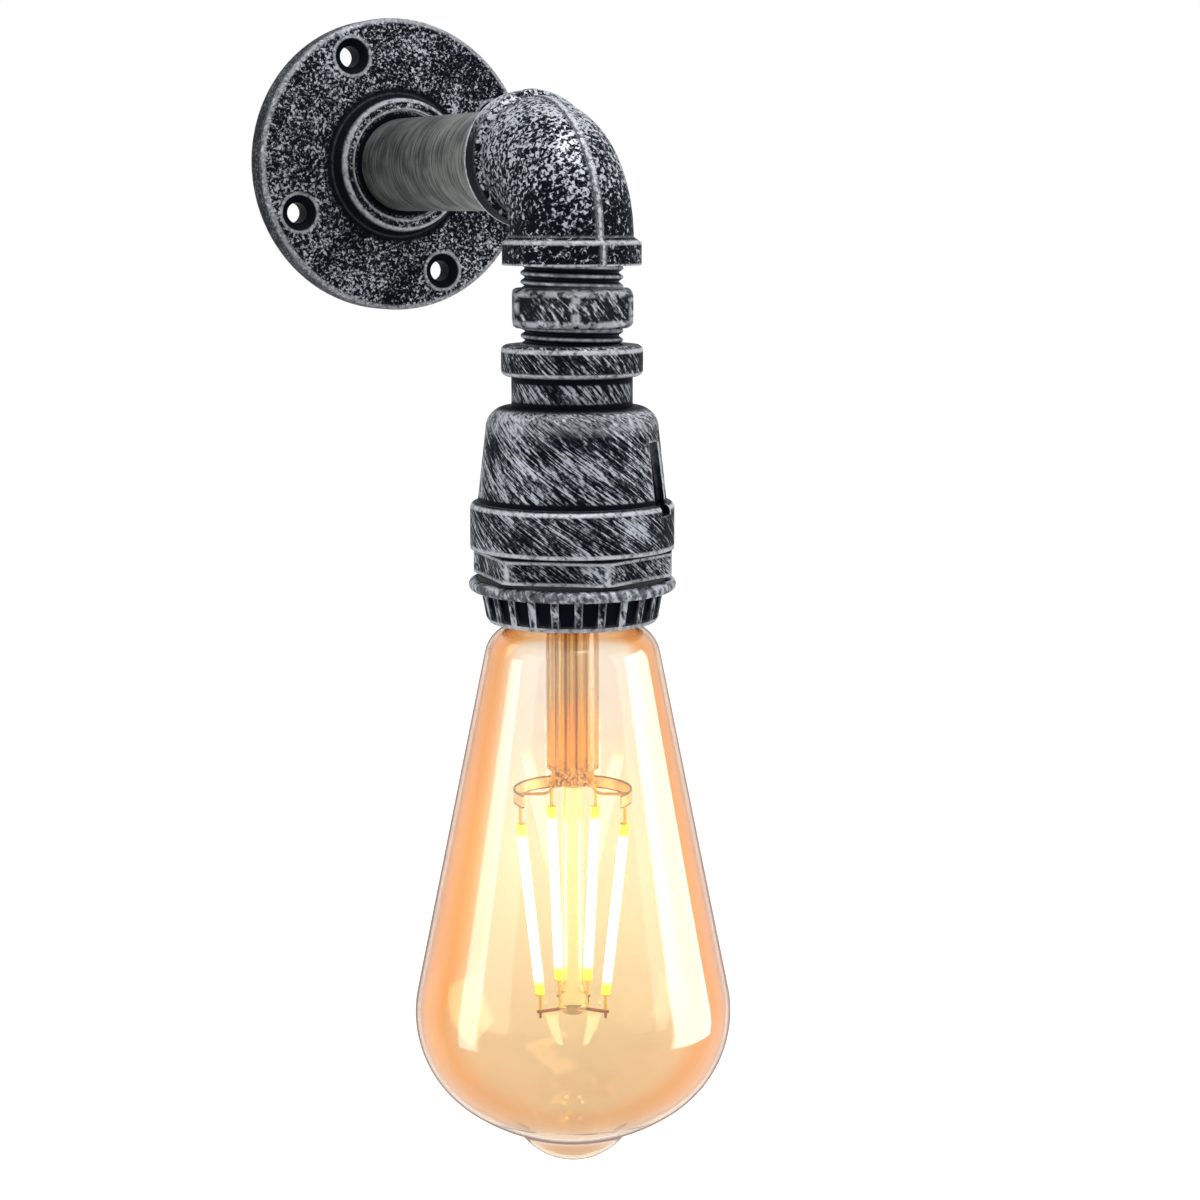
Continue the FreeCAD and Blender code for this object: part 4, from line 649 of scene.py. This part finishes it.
finish(simple("lead_metal", (0.74, 0.44, 0.16), 0.2, 600.0, roughness=0.4, metallic=0.6, depth=0.01 * MM),
       "lead_wire_1", "lead_wire_2")
finish(simple("support_metal", (0.26, 0.07, 0.03), 0.2, 600.0, roughness=0.4, metallic=0.5,
              depth=0.01 * MM), "lower_spider")


def earth_look():
    """Green and yellow sleeve, each colour on one half of it."""
    look = Look("green_yellow_sleeve", Roughness=0.45)
    side, _, _ = look.split()
    yellow_side = look.math("GREATER_THAN", side, 0.0)
    look.set(Base_Color=look.colour(yellow_side, rgb(0.05, 0.28, 0.05), rgb(0.75, 0.62, 0.04)))
    return look.material


def amber_look():
    """Amber coating: rosy and pale under the cap, peach round the filaments, beige below them, with a
    painted glow on it.
    """
    look = Look("amber_glass", IOR=1.46)
    low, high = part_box("glass_envelope")
    upright = look.upright()
    facing = look.facing()
    cloud = look.spread(look.noise(look.place, 30.0, 2.0), -0.06, 0.06)
    height = look.sum(look.step(upright, low.z, high.z), cloud)
    face = look.ramp(height, (0.0, rgb(0.70, 0.54, 0.33)), (0.15, rgb(0.83, 0.67, 0.45)),
                     (0.32, rgb(0.93, 0.79, 0.58)), (0.50, rgb(0.975, 0.86, 0.67)),
                     (0.80, rgb(0.985, 0.90, 0.80)), (0.95, rgb(0.99, 0.93, 0.86)))
    rim = look.ramp(facing, (0.28, rgb(0.97, 0.78, 0.55)), (0.44, rgb(0.94, 0.43, 0.12)),
                    (0.60, rgb(0.93, 0.47, 0.20)), (0.74, rgb(0.82, 0.36, 0.15)),
                    (0.86, rgb(0.26, 0.10, 0.05)))
    nose = rgb(0.80, 0.56, 0.33)
    brown = rgb(0.30, 0.12, 0.05)
    sealed_neck = rgb(0.80, 0.34, 0.14)
    rim = look.colour(look.step(height, 0.08, 0.24), nose, rim)
    tint = look.colour(look.step(facing, 0.14, 0.36), face, rim)
    outline = look.step(facing, 0.80, 0.90)
    tint = look.colour(outline, tint, brown)
    neck = look.step(upright, RING_LOW.z - 2.2 * MM, RING_LOW.z - 0.4 * MM)
    # Painted glow of the filaments on the glass, strongest where it faces the view.
    glow = look.times(look.step(facing, 0.0, 0.26, 1.0, 0.0), look.step(height, 0.30, 0.50),
                      look.step(height, 0.62, 0.80, 1.0, 0.0))
    look.set(Base_Color=look.colour(neck, tint, sealed_neck),
             Transmission_Weight=look.step(outline, 0.0, 1.0, 0.93, 0.10),
             Roughness=look.step(outline, 0.0, 1.0, 0.0, 0.55),
             Emission_Color=rgb(1.0, 0.80, 0.20), Emission_Strength=look.times(glow, 0.05))
    return look.material


def stem_look():
    """Stem glass: nearly clear at the top and deep amber towards the pinch, with painted dark reflections
    in lines and a painted glow.
    """
    look = Look("stem_glass", Transmission_Weight=0.9, IOR=1.46, Roughness=0.03)
    height = look.upright()
    ripple = look.noise(look.scaled(look.place, (500.0, 500.0, 30.0)), 1.0, 2.0)
    face = look.ramp(look.step(height, STEM_FOOT, STEM_FOOT + 34 * MM),
                     (0.0, rgb(0.86, 0.42, 0.05)), (0.34, rgb(0.92, 0.56, 0.10)),
                     (0.60, rgb(0.95, 0.82, 0.52)), (1.0, rgb(0.96, 0.93, 0.82)))
    side, along, _ = look.split(LAMP_AXIS)
    lines_around = 15.0
    # Painted dark reflections in lines down the stem.
    comb = look.math("SINE", look.times(look.math("ARCTAN2", side, along), lines_around))
    painted_reflection = look.times(look.step(comb, 0.62, 0.92), look.step(ripple, 0.35, 0.55, 0.6, 1.0))
    lined = look.colour(painted_reflection, face, rgb(0.24, 0.08, 0.01))
    # Painted glow, strongest low on the stem.
    painted_glow = look.times(look.step(height, STEM_FOOT + 9 * MM, STEM_FOOT + 20 * MM, 1.0, 0.25),
                      look.inverse(painted_reflection))
    look.set(Base_Color=look.colour(look.step(look.facing(), 0.42, 0.75), lined, rgb(0.34, 0.13, 0.02)),
             Emission_Color=rgb(1.0, 0.50, 0.04), Emission_Strength=look.times(painted_glow, 0.24))
    look.bump(ripple, 0.05 * MM)
    return look.material


def rod_look():
    """Clear rod with a painted glow of the filaments' light, turning amber towards its outline."""
    look = Look("rod_glass", Transmission_Weight=0.9, IOR=1.46, Roughness=0.0)
    rim = rgb(0.92, 0.72, 0.30)
    tint = look.ramp(look.facing(), (0.12, rgb(0.98, 0.93, 0.70)), (0.42, rim), (0.66, rim),
                     (0.86, rgb(0.7, 0.4, 0.1)))
    # The emission is a painted glow of the filaments' light.
    look.set(Base_Color=tint, Emission_Color=rgb(1.0, 0.80, 0.35), Emission_Strength=0.12)
    return look.material


def strip_look():
    """Heat-coloured strip: pale gold on its face and dark brown along its edges."""
    look = Look("strip_metal", Metallic=0.35)
    cloud = look.noise(look.place, 600.0, 3.0)
    face = look.colour(look.spread(cloud), rgb(0.84, 0.50, 0.20), rgb(0.96, 0.74, 0.42))
    low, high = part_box("upper_strip_live")
    upright = look.upright()
    above_foot = look.math("SUBTRACT", upright, low.z)
    below_top = look.math("SUBTRACT", high.z, upright)
    inside = look.math("MINIMUM", above_foot, below_top)
    outline = look.step(inside, 0.20 * MM, 0.42 * MM, 1.0, 0.0)
    look.set(Base_Color=look.colour(outline, face, rgb(0.22, 0.06, 0.015)),
             Roughness=look.spread(cloud, 0.32, 0.48))
    look.bump(cloud, 0.01 * MM)
    return look.material


def filament_look():
    """White-hot along its middle, yellow at the ends, bare metal on the pins."""
    look = Look("filament_glow", Roughness=0.6)
    low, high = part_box("led_filament_1")
    upper_pin = 5.3 * MM
    lower_pin = 3.6 * MM
    upright = look.upright()
    near_end = look.math("MINIMUM", look.math("SUBTRACT", high.z - upper_pin, upright),
                         look.math("SUBTRACT", upright, low.z + lower_pin))
    glow = look.step(near_end, 1.9 * MM, 4.0 * MM)
    lit = look.math("GREATER_THAN", near_end, 0.0)
    look.set(Base_Color=rgb(0.9, 0.62, 0.06),
             Emission_Color=look.colour(glow, rgb(1.0, 0.80, 0.06), rgb(1.0, 0.90, 0.62)),
             Emission_Strength=look.times(look.step(glow, 0, 1, 1.1, 9.0), lit))
    return look.material


finish(earth_look(), "earth_wire")
finish(amber_look(), "glass_envelope")
finish(stem_look(), "bulb_stem")
finish(rod_look(), "stem_rod")
finish(strip_look(), "upper_strip_live", "upper_strip_neutral")
finish(filament_look(), *(f"led_filament_{k}" for k in (1, 2, 3, 4)))


# ---------------------------------------------------------------- melted knobs at the foot of the stem

PINCH_TURN = math.radians(-27.1)
PINCH_HALF_WIDTH = 4.3 * MM
PINCH_HALF_DEPTH = 1.6 * MM
PINCH_HEIGHT = 3.6 * MM
BEAD_RADIUS = 0.8 * MM
BEAD_ROWS = 4
BEADS_IN_ROW = 14
BEAD_STRAY = 0.3 * MM
BEAD_INSET = 0.3 * BEAD_RADIUS
LOWEST_ROW = 0.12 * PINCH_HEIGHT
ROWS_HEIGHT = 1.18 * PINCH_HEIGHT


def bead_look():
    """Gold glass with dark brown patches and a painted glow."""
    look = Look("melted_glass", Transmission_Weight=0.25, IOR=1.46, Roughness=0.08)
    cloud = look.step(look.noise(look.place, 1100.0, 2.0), 0.42, 0.58)
    tint = look.colour(cloud, rgb(0.22, 0.055, 0.006), rgb(1.0, 0.62, 0.20))
    # The emission is a painted glow in the beads' own tint.
    look.set(Base_Color=tint, Emission_Color=tint, Emission_Strength=0.30)
    return look.material


def beads(name, material):
    """Knobs of melted glass in rows round the pinch, where the tube was pressed shut."""
    along = Vector((math.cos(PINCH_TURN), math.sin(PINCH_TURN), 0))
    across = Vector((-along.y, along.x, 0))
    cloud = bmesh.new()
    for row in range(BEAD_ROWS):
        level = STEM_FOOT + LOWEST_ROW + ROWS_HEIGHT * row / (BEAD_ROWS - 1)
        for step in range(BEADS_IN_ROW):
            turn = 2 * math.pi * (step + 0.5 * (row % 2)) / BEADS_IN_ROW
            wobble = 0.5 + 0.5 * math.sin(7.3 * step + 4.1 * row)
            size = BEAD_RADIUS * (0.72 + 0.45 * wobble)
            centre = Vector((0, LAMP_Y, level + BEAD_STRAY * math.sin(3.7 * step + row)))
            centre += along * (PINCH_HALF_WIDTH - BEAD_INSET) * math.cos(turn)
            centre += across * PINCH_HALF_DEPTH * math.sin(turn)
            place = Matrix.Translation(centre)
            bmesh.ops.create_icosphere(cloud, subdivisions=2, radius=size, matrix=place)
    mesh = bpy.data.meshes.new(name)
    cloud.to_mesh(mesh)
    cloud.free()
    return shown(name, mesh, material)


stem_beads = beads("stem_beads", bead_look())
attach(stem_beads, "lamp")


# ---------------------------------------------------------------- floor and surroundings

WORLD_LIGHT = 0.34
WORLD_SEEN = 1.0
FLOOR_GLOW = 0.72
FLOOR_HALF = 6.0
FLOOR_BELOW = 0.15


def white_to_view(tree):
    """1 for rays that come from the camera, from gloss or through glass."""
    path = tree.nodes.new("ShaderNodeLightPath")
    total = path.outputs["Is Camera Ray"]
    for name in ("Is Glossy Ray", "Is Transmission Ray"):
        join = tree.nodes.new("ShaderNodeMath")
        join.operation = "MAXIMUM"
        tree.links.new(total, join.inputs[0])
        tree.links.new(path.outputs[name], join.inputs[1])
        total = join.outputs[0]
    return total


def make_world():
    """White to look at, and a dimmer light on the object."""
    world = bpy.data.worlds.new("studio")
    world.use_nodes = True
    bpy.context.scene.world = world
    tree = world.node_tree
    background = tree.nodes["Background"]
    background.inputs["Color"].default_value = rgb(1, 1, 1)
    strength = tree.nodes.new("ShaderNodeMapRange")
    strength.inputs["To Min"].default_value = WORLD_LIGHT
    strength.inputs["To Max"].default_value = WORLD_SEEN
    tree.links.new(white_to_view(tree), strength.inputs["Value"])
    tree.links.new(strength.outputs[0], background.inputs["Strength"])


def floor_look():
    """Pale paper that is bright to look at, so that it ends in no horizon."""
    look = Look("floor_paper", Roughness=0.9)
    paper = look.noise(look.place, 30.0, 4.0)
    look.set(Base_Color=look.colour(paper, rgb(0.82, 0.82, 0.82), rgb(0.85, 0.85, 0.85)),
             Emission_Color=rgb(1, 1, 1),
             Emission_Strength=look.times(white_to_view(look.tree), FLOOR_GLOW))
    return look.material


make_world()
floor_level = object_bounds()[0][2] - FLOOR_BELOW
corner_signs = ((-1, -1), (1, -1), (1, 1), (-1, 1))
floor_corners = [(x * FLOOR_HALF, y * FLOOR_HALF, floor_level) for x, y in corner_signs]
floor = mesh_object("floor", floor_corners, [(0, 1, 2, 3)], floor_look(), smooth=False)


# ---------------------------------------------------------------- lights

BULB = Vector((0, LAMP_Y, -0.15))
AZIMUTH = math.radians(-27.06)
WINDOW_DISTANCE = 0.7
WINDOW_RISE = 0.25
WINDOW_SIZE = (0.4, 0.6)
WINDOW_POWER = 1.0
SHINE_DISTANCE = 0.55
SHINE_COLOUR = (0.86, 0.92, 1.0)

glass_only = bpy.data.collections.new("glass_only")
glass_only.objects.link(NODES["glass_envelope"])


def round_the_lamp(degrees, distance, rise=0.0):
    """A place round the lamp, degrees to the right of the camera as seen from the lamp."""
    angle = AZIMUTH + math.radians(degrees)
    return BULB + Vector((math.sin(angle) * distance, -math.cos(angle) * distance, rise))


def softbox(name, place, aim, size, power):
    light = bpy.data.lights.new(name, "AREA")
    light.shape = "RECTANGLE"
    light.size, light.size_y = size
    light.energy = power
    item = bpy.data.objects.new(name, light)
    bpy.context.scene.collection.objects.link(item)
    item.location = place
    item.rotation_euler = (Vector(aim) - Vector(place)).to_track_quat("-Z", "Y").to_euler()
    return item


def shine(name, degrees, size, power):
    """A soft light that shows only as a reflection in the bulb."""
    item = softbox(name, round_the_lamp(degrees, SHINE_DISTANCE), BULB, size, power)
    item.visible_diffuse = False
    item.light_linking.receiver_collection = glass_only
    item.data.color = SHINE_COLOUR


for side_name, window_degrees in (("left", -60), ("right", 75)):
    softbox("window_" + side_name, round_the_lamp(window_degrees, WINDOW_DISTANCE, WINDOW_RISE), BULB,
            WINDOW_SIZE, WINDOW_POWER)
softbox("overhead", (0.05, -0.25, 0.7), (0, LAMP_Y, -0.05), (0.5, 0.5), 4.2)
shine("shine_left", -78, (0.17, 0.46), 1.1)
shine("shine_right", 95, (0.40, 0.6), 6.0)


# ---------------------------------------------------------------- camera

CAMERA_PLACE = (-0.21956, -0.54098, -0.01079)
PITCH = math.radians(9.16)
FOCAL_PIXELS = 2408.0
PHOTO_PIXELS = 1200.0
SENSOR_WIDTH = 36.0

camera_data = bpy.data.cameras.new("camera")
camera_data.sensor_width = SENSOR_WIDTH
camera_data.sensor_fit = "HORIZONTAL"
camera_data.lens = FOCAL_PIXELS / PHOTO_PIXELS * SENSOR_WIDTH
camera_data.clip_start = 0.01
camera = bpy.data.objects.new("camera", camera_data)
bpy.context.scene.collection.objects.link(camera)
level_back = Vector((math.sin(AZIMUTH), -math.cos(AZIMUTH), 0))
back = level_back * math.cos(PITCH) + Vector((0, 0, math.sin(PITCH)))
right = Vector((math.cos(AZIMUTH), math.sin(AZIMUTH), 0))
camera_turn = Matrix((right, back.cross(right), back)).transposed().to_4x4()
camera.matrix_world = Matrix.Translation(CAMERA_PLACE) @ camera_turn
bpy.context.scene.camera = camera
bpy.context.scene.view_settings.view_transform = "Standard"
